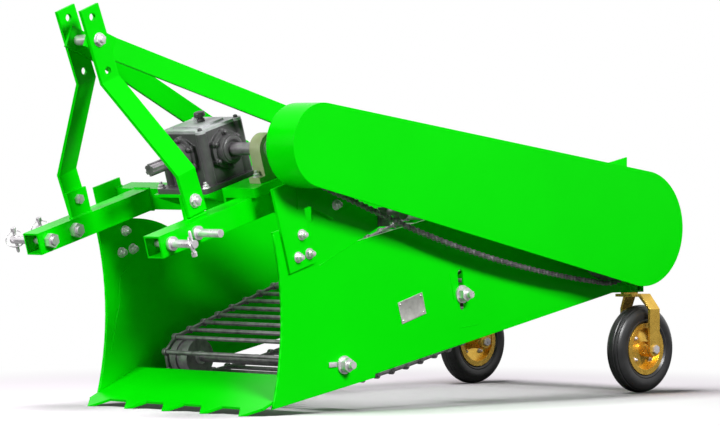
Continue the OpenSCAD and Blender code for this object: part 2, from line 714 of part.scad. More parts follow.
module mast_bar() mast() difference() {
  rotate([90, 0, 0]) linear_extrude(mast_w, center = true) polygon(strip(
    [[mast_foot_x, -36], [mast_foot_x, mast_low_bend], [mast_head_x, mast_high_bend], [mast_head_x, mast_top]],
    mast_t));
  rod_x(mast_foot_x - 2 * mast_t, 4 * mast_t, mast_bolt_r + hole_gap);
  translate([0, 0, brace_bolt_w]) rod_x(mast_head_x - 2 * mast_t, 4 * mast_t, mast_bolt_r + hole_gap);
  for (w = [link_hole_low, link_hole_high]) translate([0, 0, w])
    rod_x(mast_head_x - 2 * mast_t, 4 * mast_t, link_hole_r);
}
module mast_left() color(green) placed() mast_bar();
module mast_right() color(green) placed() mirror([1, 0, 0]) mast_bar();
module mast_bolts() color(steel) placed() mast() {
  head = mast_head_x + mast_t / 2;
  translate([0, 0, brace_bolt_w]) {
    rod_x(-head - 10, 2 * head + 20, mast_bolt_r);
    rod_x(-brace_x + brace_t / 2, 2 * brace_x - brace_t, mast_bolt_r + 6);
    for (s = [-1, 1]) translate([s * (head + 5), 0, 0]) rotate([0, 90, 0])
      cylinder(h = 10, r = 14, center = true, $fn = 6);
  }
  for (s = [-1, 1]) mirror([s < 0 ? 1 : 0, 0, 0]) {
    rod_x(mast_foot_x - mast_t / 2 - mast_t - 12, 2 * mast_t + 24, mast_bolt_r);
    for (x = [mast_foot_x + mast_t / 2, mast_foot_x - mast_t * 1.5 - 10])
      translate([x, 0, 0]) rotate([0, 90, 0]) cylinder(h = 10, r = 14, $fn = 6);
  }
}

module brace() translate([0, brace_at[0], brace_at[1]]) rotate([-brace_slope, 0, 0]) difference() {
  end_x = half_in - brace_t / 2;
  linear_extrude(brace_h, center = true) polygon(strip(
    [[brace_x, -32], [brace_x, brace_front], [end_x, brace_len - brace_tail], [end_x, brace_len + 40]], brace_t));
  rod_x(brace_x - brace_t, 2 * brace_t, mast_bolt_r + hole_gap);
}
module brace_left() color(green) placed() brace();
module brace_right() color(green) placed() mirror([1, 0, 0]) brace();

boss_len = 12;
boss_wall = 14;
module sprocket(r, bore) difference() {
  union() {
    rod_x(chain_x - sprocket_t / 2, sprocket_t, r - link_sag(r) - chain_h / 2 - web_gap);
    rod_x(chain_x - sprocket_t / 2 - boss_len, sprocket_t + 2 * boss_len, bore + boss_wall);
  }
  rod_x(chain_x - sprocket_t / 2 - boss_len - 1, sprocket_t + 2 * boss_len + 2, bore + run_gap);
}
module front_sprocket() color(dark_steel) placed() translate([0, cross_at[0], cross_at[1]])
  sprocket(sprocket_front_r, cross_r);
module rear_sprocket() color(dark_steel) placed() translate([0, rear_y, rear_z])
  sprocket(sprocket_rear_r, rear_shaft_r);
module chain() color(dark_steel) placed()
  sheet(chain_x - chain_w / 2, chain_w) ring_band(chain_pts, chain_h / 2, chain_waist / 2);

module tensioner() color(dark_steel) placed() translate([0, shoe_y, shoe_z]) {
  r = shoe_r - link_sag(shoe_r) - chain_h / 2 - web_gap;
  arm_r = 9;
  pad = [side_t, 41, 52];
  pad_fore = 34;
  pad_down = 38;
  rod_x(chain_x - 12, 24, r);
  rod_x(half_out, chain_x - half_out, arm_r);
  translate([half_out, -pad_fore, -pad_down]) cube(pad);
}

module guard_outline(d) {
  f = [[guard_front_y, guard_front_z], guard_front_r];
  r = [[guard_rear_y, guard_rear_z], guard_rear_r];
  a = tangent(f, r);
  b = tangent(r, f);
  translate(f[0]) circle(r = f[1] - d, $fn = 160);
  translate(r[0]) circle(r = r[1] - d, $fn = 200);
  tuck = d + guard_tuck;
  polygon([f[0] + (f[1] - tuck) * dir(a), r[0] + (r[1] - tuck) * dir(a),
    r[0] + (r[1] - tuck) * dir(b), f[0] + (f[1] - tuck) * dir(b)]);
}
module guard_mouth() polygon([[guard_front_y - 6, guard_front_z - guard_front_r - 60],
  [guard_front_y - 6, guard_front_z - guard_front_r + 26], [guard_rear_y, guard_rear_z - guard_rear_r + 40],
  [guard_rear_y, guard_rear_z - guard_rear_r - 60]]);
module guard() color(green) placed() {
  sheet(guard_out_x - guard_t, guard_t) guard_outline(0);
  sheet(guard_back_x, guard_out_x - guard_back_x - guard_t / 2) difference() {
    guard_outline(0);
    guard_outline(guard_t);
    guard_mouth();
  }
}
module guard_back() color(green) placed() {
  rear = guard_front_y + back_tail;
  sheet(half_out + leg_t, guard_back_t) difference() {
    union() {
      translate([guard_front_y, guard_front_z]) circle(r = guard_front_r - rest_gap, $fn = 160);
      polygon([[guard_front_y, guard_front_z], [guard_front_y, back_bolt_z - 11], [back_bolt_y - 103, back_bolt_z - 1],
        [back_bolt_y - 10, back_bolt_z - 39], [rear, back_bolt_z + 20], [rear, guard_front_z]]);
    }
    translate(cross_at) circle(r = cross_r + 8);
  }
  translate([0, back_bolt_y, back_bolt_z]) rod_x(half_out, leg_t + 1, back_spacer_r);
}
module guard_bracket() color(green) placed() {
  a = tangent([[guard_front_y, guard_front_z], guard_front_r], [[guard_rear_y, guard_rear_z], guard_rear_r]);
  strap_w = 50;
  strap_t = 5;
  reach = 60;
  foot = 90;
  translate([half_out, guard_rear_y, guard_rear_z]) {
    rotate([a - 90, 0, 0]) translate([0, -120, guard_rear_r - guard_t - guard_tuck - strap_t])
      cube([reach, strap_w, strap_t]);
    translate([0, -70, foot]) cube([strap_t, strap_w, guard_rear_r - foot + 4]);
  }
}

module castor_fork() translate([castor_x, castor_y, 0]) {
  top = fork_out - fork_lean;
  back = castor_trail + fork_w / 2 - fork_fore;
  translate([-top, -bush_r, crown_z - fork_t]) cube([2 * top, back + bush_r, fork_t]);
  for (s = [-1, 1]) mirror([s < 0 ? 1 : 0, 0, 0]) {
    difference() {
      sheet(fork_in, fork_t) {
        translate([castor_trail - fork_w / 2, wheel_r]) square([fork_w, fork_bend_z - wheel_r]);
        translate([castor_trail, wheel_r]) circle(r = fork_w / 2);
      }
      translate([0, castor_trail, wheel_r]) rod_x(fork_in - 1, fork_t + 2, axle_r + hole_gap);
    }
    hull() {
      translate([fork_in, castor_trail - fork_w / 2, fork_bend_z - 1]) cube([fork_t, fork_w, 1]);
      translate([top - fork_t, back - fork_w, crown_z - fork_t]) cube([fork_t, fork_w, fork_t]);
    }
  }
  translate([0, 0, crown_z - fork_t]) cylinder(h = fork_t + crown_gap - rest_gap, r = bush_r);
  translate([0, 0, crown_z]) cylinder(h = crown_gap + rear_beam_w + bush_rise + 4, r = king_r);
  translate([0, 0, rear_beam_z + rear_beam_w + bush_rise + rest_gap])
    cylinder(h = 14, r = king_r + 8, $fn = 6);
}
module castor_fork_left() color(gold) placed() castor_fork();
module castor_fork_right() color(gold) placed() mirror([1, 0, 0]) castor_fork();
module axle() translate([castor_x, wheel_y, wheel_r]) {
  rod_x(-fork_out - axle_head, 2 * (fork_out + axle_head), axle_r);
  for (x = [-fork_out - axle_head, fork_out]) translate([x, 0, 0]) rotate([0, 90, 0])
    cylinder(h = axle_head, r = 13, $fn = 6);
}
module axle_left() color(steel) placed() axle();
module axle_right() color(steel) placed() mirror([1, 0, 0]) axle();
tyre_seat = 8;
module rim() translate([castor_x, wheel_y, wheel_r]) rotate([0, 90, 0]) rotate_extrude($fn = 96) {
  hub = fork_in - 2;
  translate([axle_r + run_gap, -hub]) square([14, 2 * hub]);
  seat = tyre_w / 2 - tyre_seat;
  dish = 9;
  polygon([[axle_r + 10, dish - 5], [rim_r - 5, -4], [rim_r - 5, 4], [axle_r + 10, dish + 5]]);
  translate([rim_r - 6, -seat - 5]) square([6, 2 * seat + 10]);
  for (s = [-1, 1]) translate([rim_r - 1, s < 0 ? -seat - 5 : seat]) square([rim_lip + 1, 5]);
}
module rim_left() color(gold) placed() rim();
module rim_right() color(gold) placed() mirror([1, 0, 0]) rim();
module tyre() translate([castor_x, wheel_y, wheel_r]) rotate([0, 90, 0]) rotate_extrude($fn = 96) {
  w = tyre_w / 2;
  seat = w - tyre_seat;
  top = wheel_r - tyre_shoulder;
  bead = rim_r + rim_lip;
  for (s = [-1, 1]) translate([top, s * (w - tyre_shoulder)]) circle(r = tyre_shoulder);
  polygon([[rim_r, -seat], [bead, -seat], [bead + 7, -w], [top, -w], [wheel_r, -w + tyre_shoulder],
    [wheel_r, w - tyre_shoulder], [top, w], [bead + 7, w], [bead, seat], [rim_r, seat]]);
}
module tyre_left() color(black) placed() tyre();
module tyre_right() color(black) placed() mirror([1, 0, 0]) tyre();

side_plate_left();
side_plate_right();
share();
web();
front_rollers();
mid_rollers();
roller_bolts();
rear_shaft();
rear_bearings();
rear_beam();
drawbar_left();
drawbar_right();
hitch_pins_left();
hitch_pins_right();
cross_beam();
leg_plates();
gearbox_plate();
gearbox();
gearbox_cover();
input_shaft();
cross_shaft();
cross_bearing();
mast_left();
mast_right();
mast_bolts();
brace_left();
brace_right();
front_sprocket();
rear_sprocket();
chain();
tensioner();
guard_back();
guard();
guard_bracket();
castor_fork_left();
castor_fork_right();
axle_left();
axle_right();
rim_left();
rim_right();
tyre_left();
tyre_right();
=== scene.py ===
"""Looks of the one-row potato digger: finishes, fasteners, chain links, tread and studio."""

import json
import logging
import math
from dataclasses import dataclass
from enum import Enum
from typing import Callable, Dict, List, Optional, Sequence, Tuple, Union

import bpy
from mathutils import Matrix, Vector


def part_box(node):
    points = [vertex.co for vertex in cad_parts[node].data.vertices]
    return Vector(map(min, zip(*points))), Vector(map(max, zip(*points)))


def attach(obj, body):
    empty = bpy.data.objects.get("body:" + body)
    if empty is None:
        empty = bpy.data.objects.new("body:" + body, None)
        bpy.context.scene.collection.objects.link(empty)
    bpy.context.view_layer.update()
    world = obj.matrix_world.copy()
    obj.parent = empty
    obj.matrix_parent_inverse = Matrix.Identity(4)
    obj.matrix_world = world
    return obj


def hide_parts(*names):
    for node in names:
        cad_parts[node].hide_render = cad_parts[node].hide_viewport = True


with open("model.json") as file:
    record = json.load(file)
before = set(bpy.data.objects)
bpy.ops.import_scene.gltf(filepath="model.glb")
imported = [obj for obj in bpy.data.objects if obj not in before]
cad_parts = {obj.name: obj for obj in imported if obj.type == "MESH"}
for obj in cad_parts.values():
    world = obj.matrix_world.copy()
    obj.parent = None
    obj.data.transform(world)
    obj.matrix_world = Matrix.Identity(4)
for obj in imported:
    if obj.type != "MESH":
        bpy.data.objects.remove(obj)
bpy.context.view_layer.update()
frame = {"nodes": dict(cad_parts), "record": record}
LOG = logging.getLogger("potato_digger")
MM = 0.001
FULL_TURN = 2.0 * math.pi
ORIGIN = (0.0, 0.0, 0.0)
WHITE = (1.0, 1.0, 1.0, 1.0)
BOTH = (-1.0, 1.0)
CORNERS = tuple((a, b) for a in BOTH for b in BOTH)
WHEEL_X = 338.0
HEXAGON = 6
LEFT, RIGHT = Vector((1.0, 0.0, 0.0)), Vector((-1.0, 0.0, 0.0))
Point = Tuple[float, float]
Vec3 = Tuple[float, float, float]
Lamp = Tuple[str, Vec3, float, float]
Color = Vec3
Circle = Vec3
Node = bpy.types.Node
Piece = bpy.types.Object


class Slot(Enum):
    """Material slots of the record."""

    GREEN = "green_paint"
    CAST = "cast_housing"
    BRIGHT = "bright_steel"
    DARK = "dark_steel"
    YELLOW = "yellow_zinc"
    RUBBER = "rubber_tyre"
    PLATE = "plate_metal"
    LID = "gearbox_lid"
    OLIVE = "bearing_olive"


@dataclass(frozen=True)
class Grain:
    """One noise: cells per metre, octaves and the strength of the finer octaves."""

    scale: float
    detail: float = 4.0
    rough: float = 0.55


class NodeTree:
    """Short hand for building one material's nodes."""

    def __init__(self, name: str) -> None:
        """Make a node material with one plain shader.

        Args:
            name: The material's name.
        """
        self.material = bpy.data.materials.new(name)
        self.material.use_nodes = True
        self.tree = self.material.node_tree
        self.tree.nodes.clear()
        self.out = self.node("OutputMaterial")
        self.shader = self.node("BsdfPrincipled")
        self.link(self.shader, "BSDF", self.out, "Surface")
        self.coords = self.node("TexCoord")

    def node(self, kind: str, values: Optional[Dict[str, object]] = None) -> Node:
        """Add a node and set some of its inputs.

        Args:
            kind: The node's type, without its first word.
            values: Input values by name.

        Returns:
            The node.
        """
        made = self.tree.nodes.new("ShaderNode" + kind)
        for name, value in (values or {}).items():
            made.inputs[name].default_value = value
        return made

    def link(self, a: Node, out: str, b: Node, into: Union[str, int]) -> None:
        """Join one node's output to another's input."""
        self.tree.links.new(a.outputs[out], b.inputs[into])

    def noise(self, grain: Grain) -> Node:
        """Noise on Object coordinates.

        Args:
            grain: Its size and octaves.

        Returns:
            The noise node.
        """
        sizes = {"Scale": grain.scale, "Detail": grain.detail, "Roughness": grain.rough}
        made = self.node("TexNoise", sizes)
        self.link(self.coords, "Object", made, "Vector")
        return made

    def ramp(self, source: Node, stops: Sequence[Tuple[float, Color]], out: str = "Fac") -> Node:
        """Colour ramp fed by a node.

        Args:
            source: The node that feeds the ramp.
            stops: Two places from 0 to 1 with their colours.
            out: The name of the source's output.

        Returns:
            The ramp node.
        """
        made = self.node("ValToRGB")
        for element, (place, color) in zip(made.color_ramp.elements, stops):
            element.position = place
            element.color = (*color, 1.0)
        self.link(source, out, made, "Fac")
        return made


@dataclass(frozen=True)
class Finish:
    """A surface with patches of two tones, an uneven gloss and a fine relief."""

    name: str
    low: Color
    high: Color
    roughness: float
    stops: Point
    gloss: Point
    patches: Grain
    haze: Grain
    skin: Grain
    strength: float
    depth: float
    edge: float
    edge_samples: int = 4
    metallic: float = 0.0
    shine: float = 0.5

    def material(self) -> bpy.types.Material:
        """Build the finish's nodes.

        Returns:
            The material.
        """
        tree = NodeTree(self.name)
        tree.shader.inputs["Metallic"].default_value = self.metallic
        tree.shader.inputs["Specular IOR Level"].default_value = self.shine
        tone = tree.ramp(tree.noise(self.patches), list(zip(self.stops, (self.low, self.high))))
        tree.link(tone, "Color", tree.shader, "Base Color")
        smooth, rough = (self.roughness * share for share in self.gloss)
        gloss = tree.node("MapRange", {"To Min": smooth, "To Max": rough})
        tree.link(tree.noise(self.haze), "Fac", gloss, "Value")
        tree.link(gloss, "Result", tree.shader, "Roughness")
        soft = tree.node("Bevel", {"Radius": self.edge})
        soft.samples = self.edge_samples
        relief = tree.node("Bump", {"Strength": self.strength, "Distance": self.depth})
        tree.link(tree.noise(self.skin), "Fac", relief, "Height")
        tree.link(soft, "Normal", relief, "Normal")
        tree.link(relief, "Normal", tree.shader, "Normal")
        return tree.material


@dataclass(frozen=True)
class Enamel(Finish):
    """Glossy sprayed paint with a faint orange-peel skin."""

    roughness: float = 0.22
    stops: Point = (0.30, 0.62)
    gloss: Point = (0.8, 1.35)
    patches: Grain = Grain(3.5, 3.0)
    haze: Grain = Grain(16.0)
    skin: Grain = Grain(420.0, 2.0)
    strength: float = 0.25
    depth: float = 0.0001
    edge: float = 0.0025
    shine: float = 0.08


@dataclass(frozen=True)
class Plated(Finish):
    """Zinc plate or bare metal with a fine grain and stained patches."""

    roughness: float = 0.3
    stops: Point = (0.32, 0.58)
    gloss: Point = (0.7, 1.5)
    patches: Grain = Grain(38.0, 5.0, 0.6)
    haze: Grain = Grain(114.0)
    skin: Grain = Grain(900.0, 3.0)
    strength: float = 0.1
    depth: float = 0.0001
    edge: float = 0.001
    metallic: float = 1.0


@dataclass(frozen=True)
class Casting(Finish):
    """Painted iron casting with a sand-mould skin."""

    roughness: float = 0.36
    stops: Point = (0.35, 0.75)
    gloss: Point = (0.75, 1.3)
    patches: Grain = Grain(26.0, 5.0, 0.65)
    haze: Grain = Grain(60.0, 3.0)
    skin: Grain = Grain(520.0, 4.0, 0.7)
    strength: float = 0.45
    depth: float = 0.0005
    edge: float = 0.004


@dataclass(frozen=True)
class Rubber(Finish):
    """Black tyre rubber with a dusty bloom."""

    roughness: float = 0.33
    stops: Point = (0.38, 0.80)
    gloss: Point = (0.8, 1.25)
    patches: Grain = Grain(14.0, 6.0, 0.7)
    haze: Grain = Grain(14.0, 6.0, 0.7)
    skin: Grain = Grain(700.0, 3.0)
    strength: float = 0.35
    depth: float = 0.0003
    edge: float = 0.002


FINISHES: Dict[Slot, Finish] = {
    Slot.GREEN: Enamel("green_enamel", (0.001, 0.715, 0.001), (0.001, 0.745, 0.001)),
    Slot.CAST: Casting("charcoal_casting", (0.060, 0.057, 0.060), (0.104, 0.098, 0.104)),
    Slot.BRIGHT: Plated("bright_zinc", (0.60, 0.57, 0.60), (0.80, 0.77, 0.80), 0.28, metallic=0.6),
    Slot.DARK: Plated("oiled_steel", (0.150, 0.136, 0.150), (0.310, 0.285, 0.310), 0.36, metallic=0.7),
    Slot.YELLOW: Plated("yellow_zinc", (0.70, 0.42, 0.06), (0.86, 0.54, 0.09), 0.25, metallic=0.75),
    Slot.RUBBER: Rubber("tyre_rubber", (0.014, 0.014, 0.015), (0.034, 0.034, 0.035)),
    Slot.PLATE: Plated("plate_aluminium", (0.50, 0.50, 0.47), (0.66, 0.66, 0.62), 0.42),
    Slot.LID: Plated("lid_aluminium", (0.46, 0.46, 0.48), (0.58, 0.58, 0.60), 0.45, metallic=0.3),
    Slot.OLIVE: Casting("olive_casting", (0.350, 0.375, 0.205), (0.410, 0.440, 0.260), 0.45),
}


class Paintbox:
    """Makes each finish once and puts it on nodes and pieces."""

    def __init__(self) -> None:
        """Build every finish."""
        self.made: Dict[Slot, bpy.types.Material] = {s: f.material() for s, f in FINISHES.items()}

    def dress(self, obj: Piece, slot: Slot) -> None:
        """Put a finish on an object as its only material."""
        obj.data.materials.clear()
        obj.data.materials.append(self.made[slot])

    def dress_nodes(self) -> None:
        """Give each CAD node the finish of its slot in the record."""
        for sub in frame["record"]["subparts"]:
            self.dress(frame["nodes"][sub["node"]], Slot(sub["material_slot"]))


class Datum:
    """Where the digger's own measures start: its middle plane, the share's points and the ground."""

    def __init__(self) -> None:
        """Read the datum from the frame's own plates and share."""
        left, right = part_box("side_plate_left"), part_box("side_plate_right")
        self.middle: float = (left[1][0] + right[0][0]) / 2.0
        self.points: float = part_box("share")[0][1]

    def at(self, x: float, y: float, z: float) -> Vector:
        """Turn millimetres left, rearwards and up into a place in the frame."""
        return Vector((self.middle + x * MM, self.points + y * MM, z * MM))


DATUM = Datum()


@dataclass(frozen=True)
class Hitch:
    """Tilted measures of the drawbar, taken from the front ends of its tubes."""

    pitch: float = 16.4
    front_y: float = -247.0
    front_z: float = 451.0

    def at(self, x: float, u: float, v: float) -> Vector:
        """Place at x to the left, u along the tubes and v above them, in millimetres."""
        c, s = math.cos(math.radians(self.pitch)), math.sin(math.radians(self.pitch))
        return DATUM.at(x, self.front_y + u * c - v * s, self.front_z + u * s + v * c)

    def way(self, u: float, v: float) -> Vector:
        """Direction along the tubes and above them."""
        return (self.at(0.0, u, v) - self.at(0.0, 0.0, 0.0)).normalized()


HITCH = Hitch()
HITCH_UP, HITCH_FRONT = HITCH.way(0.0, 1.0), HITCH.way(-1.0, 0.0)


class Bench:
    """Modelling moves that the pieces are made with."""

    @staticmethod
    def pick(obj: Piece) -> None:
        """Select one object alone and make it active.

        Args:
            obj: The object.
        """
        bpy.ops.object.select_all(action="DESELECT")
        obj.select_set(True)
        bpy.context.view_layer.objects.active = obj

    @staticmethod
    def edit(obj: Piece, kind: str = "VERT") -> None:
        """Open one object in edit mode with all of it selected.

        Args:
            obj: The object to open.
            kind: Selection mode, VERT, EDGE or FACE.
        """
        Bench.pick(obj)
        bpy.ops.object.mode_set(mode="EDIT")
        bpy.ops.mesh.select_mode(type=kind)
        bpy.ops.mesh.select_all(action="SELECT")

    @staticmethod
    def close() -> None:
        """Merge doubles, turn the faces outwards and leave edit mode."""
        bpy.ops.mesh.select_all(action="SELECT")
        bpy.ops.mesh.remove_doubles(threshold=0.00001)
        bpy.ops.mesh.normals_make_consistent(inside=False)
        bpy.ops.object.mode_set(mode="OBJECT")

    @staticmethod
    def turned(outline: Sequence[Point], sides: int) -> Piece:
        """Draw an outline by extruding a point, and spin it once round the Z axis.

        Args:
            outline: Points as radius and height in millimetres.
            sides: Steps of the spin.

        Returns:
            The turned object.
        """
        bpy.ops.mesh.primitive_plane_add(size=MM)
        obj = bpy.context.object
        Bench.edit(obj)
        bpy.ops.mesh.merge(type="CENTER")
        bpy.ops.transform.translate(value=(outline[0][0] * MM, 0.0, outline[0][1] * MM))
        for a, b in zip(outline, outline[1:]):
            step = ((b[0] - a[0]) * MM, 0.0, (b[1] - a[1]) * MM)
            bpy.ops.mesh.extrude_region_move(TRANSFORM_OT_translate={"value": step})
        bpy.ops.mesh.select_all(action="SELECT")
        bpy.ops.mesh.spin(steps=sides, angle=FULL_TURN, center=ORIGIN, axis=(0.0, 0.0, 1.0))
        Bench.close()
        return obj

    @staticmethod
    def bush(bore: float, radius: float, half: float, chamfer: float, sides: int) -> Piece:
        """Turn a round piece with chamfered ends.

        Args:
            bore: Radius of its hole, or 0 for a solid piece.
            radius: Its outer radius.
            half: Half its length.
            chamfer: Size of its chamfers.
            sides: Steps of the spin.

        Returns:
            The piece, along Z.
        """
        inner = radius - chamfer
        outline = [(bore, -half), (inner, -half), (radius, chamfer - half), (radius, half - chamfer),
                   (inner, half), (bore, half)]
        return Bench.turned(outline + outline[:1] if bore > 0.0 else outline, sides)

    @staticmethod
    def block(size: Vec3, round_by: float) -> Piece:
        """Make a block with rounded edges, its middle at the origin.

        Args:
            size: Its sides in millimetres.
            round_by: Radius of its edges in millimetres.

        Returns:
            The block.
        """
        bpy.ops.mesh.primitive_cube_add(size=MM)
        obj = bpy.context.object
        Bench.edit(obj, "EDGE")
        bpy.ops.transform.resize(value=size, center_override=ORIGIN)
        bpy.ops.mesh.bevel(offset=round_by * MM, segments=2, affect="EDGES")
        Bench.close()
        return obj

    @staticmethod
    def reshape(obj: Piece, operator: Callable[..., object], **settings: object) -> Piece:
        """Run an operator on the whole of a model's mesh.

        Args:
            obj: The model.
            operator: The operator.
            settings: What the operator is told.

        Returns:
            The same model.
        """
        Bench.edit(obj)
        operator(**settings)
        bpy.ops.object.mode_set(mode="OBJECT")
        return obj

    @staticmethod
    def shift(obj: Piece, move: Vec3) -> Piece:
        """Move a model's mesh by millimetres, and give the model back."""
        return Bench.reshape(obj, bpy.ops.transform.translate, value=tuple(m * MM for m in move))

    @staticmethod
    def squash(obj: Piece, shares: Vec3) -> Piece:
        """Scale a model's mesh about the origin, and give the model back."""
        return Bench.reshape(obj, bpy.ops.transform.resize, value=shares, center_override=ORIGIN)

    @staticmethod
    def tip(obj: Piece, degrees: float = 90.0) -> Piece:
        """Turn a model's mesh about the Y axis, and give the model back."""
        obj.data.transform(Matrix.Rotation(math.radians(degrees), 4, "Y"))
        return obj

    @staticmethod
    def join(parts: Sequence[Piece], name: str) -> Piece:
        """Join meshes into one object.

        Args:
            parts: The objects to join.
            name: The name of the result.

        Returns:
            The joined object.
        """
        Bench.pick(parts[0])
        for part in parts:
            part.select_set(True)
        if len(parts) > 1:
            bpy.ops.object.join()
        whole = bpy.context.view_layer.objects.active
        whole.name = name
        whole.data.name = name
        return whole

    @staticmethod
    def facing(place: Vector, way: Vector, roll: float = 0.0) -> Matrix:
        """Pose that puts a model at a place, its Z axis along a direction and rolled about it by degrees."""
        turn = way.to_track_quat("Z", "Y").to_matrix().to_4x4()
        return Matrix.Translation(place) @ turn @ Matrix.Rotation(math.radians(roll), 4, "Z")

    @staticmethod
    def along(place: Vector, forward: Vector) -> Matrix:
        """Pose at a place, with X to the machine's left and Y along a direction square to it."""
        y = forward.normalized()
        return Matrix.Translation(place) @ Matrix((LEFT, y, LEFT.cross(y))).transposed().to_4x4()

    @staticmethod
    def set_out(model: Piece, poses: Sequence[Matrix], name: str) -> Piece:
        """Copy a model to each pose and join the copies into one object.

        Args:
            model: The model, which is used up.
            poses: Where the copies go.
            name: The name of the result.

        Returns:
            The joined object.
        """
        copies: List[Piece] = []
        for pose in poses:
            copy = bpy.data.objects.new(name, model.data.copy())
            copy.data.transform(pose)
            bpy.context.scene.collection.objects.link(copy)
            copies.append(copy)
        bpy.data.objects.remove(model)
        return Bench.join(copies, name)


@dataclass
class Workshop:
    """Shades and paints finished pieces and puts them on their bodies."""

    paint: Paintbox

    def hand_over(self, piece: Piece, slot: Slot, body: str = "frame",
                  stands_for: Optional[str] = None, angle: float = 38.0) -> None:
        """Finish one piece.

        Args:
            piece: The piece.
            slot: Its finish.
            body: The body that it rides on.
            stands_for: A CAD node that it takes the place of.
            angle: Edges sharper than this many degrees stay sharp.
        """
        Bench.pick(piece)
        bpy.ops.object.shade_smooth_by_angle(angle=math.radians(angle))
        self.paint.dress(piece, slot)
        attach(piece, body)
        if stands_for is not None:
            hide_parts(stands_for)
        LOG.info("%s: %d faces on %s", piece.name, len(piece.data.polygons), body)


@dataclass
class Trim:
    """Pieces of one sub-assembly, with the workshop that finishes them."""

    shop: Workshop


class Loop:
    """A belt line laid clockwise round circles, in millimetres rearwards and upwards."""

    def __init__(self, circles: Sequence[Circle]) -> None:
        """Work out the straight runs and bends.

        Args:
            circles: Middle and radius of each circle, in the order of travel.
        """
        self.runs: List[Tuple[float, Callable[[float], Point]]] = []
        count = len(circles)
        angles = [self.tangent(circles[i], circles[(i + 1) % count]) for i in range(count)]
        for i in range(count):
            a, b = circles[i], circles[(i + 1) % count]
            start, end = self.rim(a, angles[i]), self.rim(b, angles[i])
            self.runs.append((math.dist(start, end), self.straight(start, end)))
            sweep = (angles[i] - angles[(i + 1) % count]) % FULL_TURN
            self.runs.append((b[2] * sweep, self.bend(b, angles[i])))
        self.length: float = sum(run[0] for run in self.runs)

    @staticmethod
    def tangent(a: Circle, b: Circle) -> float:
        """Angle at which the outer tangent leaves both circles."""
        dy, dz = b[0] - a[0], b[1] - a[1]
        return math.atan2(dz, dy) + math.acos(max(-1.0, min(1.0, (a[2] - b[2]) / math.hypot(dy, dz))))

    @staticmethod
    def rim(circle: Circle, angle: float) -> Point:
        """Point of a circle at an angle."""
        return circle[0] + circle[2] * math.cos(angle), circle[1] + circle[2] * math.sin(angle)

    @staticmethod
    def straight(a: Point, b: Point) -> Callable[[float], Point]:
        """Function that gives the point at a distance along a straight run."""
        full = math.dist(a, b)
        return lambda d: (a[0] + (b[0] - a[0]) * d / full, a[1] + (b[1] - a[1]) * d / full)

    @staticmethod
    def bend(circle: Circle, first: float) -> Callable[[float], Point]:
        """Function that gives the point at a distance along a bend."""
        return lambda d: Loop.rim(circle, first - d / circle[2])

    @staticmethod
    def hanging(a: Circle, b: Circle, radius: float) -> Circle:
        """Circle of a slack run that hangs under two circles.

        Args:
            a: The front circle.
            b: The rear circle.
            radius: Radius of the hanging run.

        Returns:
            Middle and radius of the hanging circle.
        """
        span = math.dist(a[:2], b[:2])
        p, q = radius - a[2], radius - b[2]
        k = (p * p - q * q + span * span) / (2.0 * span)
        e = ((b[0] - a[0]) / span, (b[1] - a[1]) / span)
        h = math.sqrt(p * p - k * k)
        return a[0] + k * e[0] - h * e[1], a[1] + k * e[1] + h * e[0], radius

    def point(self, distance: float) -> Point:
        """Point at a distance along the loop.

        Args:
            distance: Millimetres from the loop's start.

        Returns:
            Millimetres rearwards and upwards.
        """
        rest = distance % self.length
        for length, place in self.runs:
            if rest <= length:
                return place(rest)
            rest -= length
        return self.runs[-1][1](self.runs[-1][0])

    def points(self, count: int) -> List[Point]:
        """Evenly spaced points along the loop."""
        return [self.point(self.length * i / count) for i in range(count)]

    def poses(self, x: float, count: int) -> List[Matrix]:
        """Poses at evenly spaced points of the loop, x to the left, each with Y towards the next point."""
        spots = [DATUM.at(x, y, z) for y, z in self.points(count)]
        return [Bench.along(a, b - a) for a, b in zip(spots, spots[1:] + spots[:1])]


@dataclass
class RodWeb(Trim):
    """Rod web: round rods in eyes that short links join into two rows."""

    front: Circle = (342.0, 126.0, 58.0)
    rear: Circle = (1345.0, 470.0, 66.0)
    hang_radius: float = 2300.0
    rods: int = 44
    rod_radius: float = 6.0
    rod_chamfer: float = 1.5
    rod_end: float = 3.0
    row_x: float = 300.0
    row_width: float = 14.0
    eye_radius: float = 10.5
    eye_chamfer: float = 1.2
    shank_size: Point = (10.0, 10.0)
    shank_round: float = 2.0
    sides: int = 16

    def build(self) -> None:
        """Make the rods and both link rows and let them stand for the web."""
        loop = Loop([self.front, self.rear, Loop.hanging(self.front, self.rear, self.hang_radius)])
        end = self.row_x + self.row_width / 2.0 + self.rod_end
        rod = Bench.bush(0.0, self.rod_radius, end, self.rod_chamfer, self.sides)
        poses = [Bench.facing(DATUM.at(0.0, y, z), LEFT) for y, z in loop.points(self.rods)]
        parts = [Bench.set_out(rod, poses, "rods")]
        for side in BOTH:
            poses = loop.poses(side * self.row_x, self.rods)
            parts.append(Bench.set_out(self.link(loop.length / self.rods), poses, "links"))
        self.shop.hand_over(Bench.join(parts, "rod_web"), Slot.DARK, stands_for="web")

    def link(self, pitch: float) -> Piece:
        """One link: an eye round its rod and a shank that reaches to the next.

        Args:
            pitch: Distance to the next rod in millimetres.

        Returns:
            The link, its eye at the origin and the next rod along Y.
        """
        eye = Bench.tip(Bench.bush(self.rod_radius, self.eye_radius, self.row_width / 2.0, self.eye_chamfer,
                                   self.sides))
        wide, tall = self.shank_size
        shank = Bench.block((wide, pitch - 2.0 * self.rod_radius, tall), self.shank_round)
        return Bench.join([eye, Bench.shift(shank, (0.0, pitch / 2.0, 0.0))], "link")


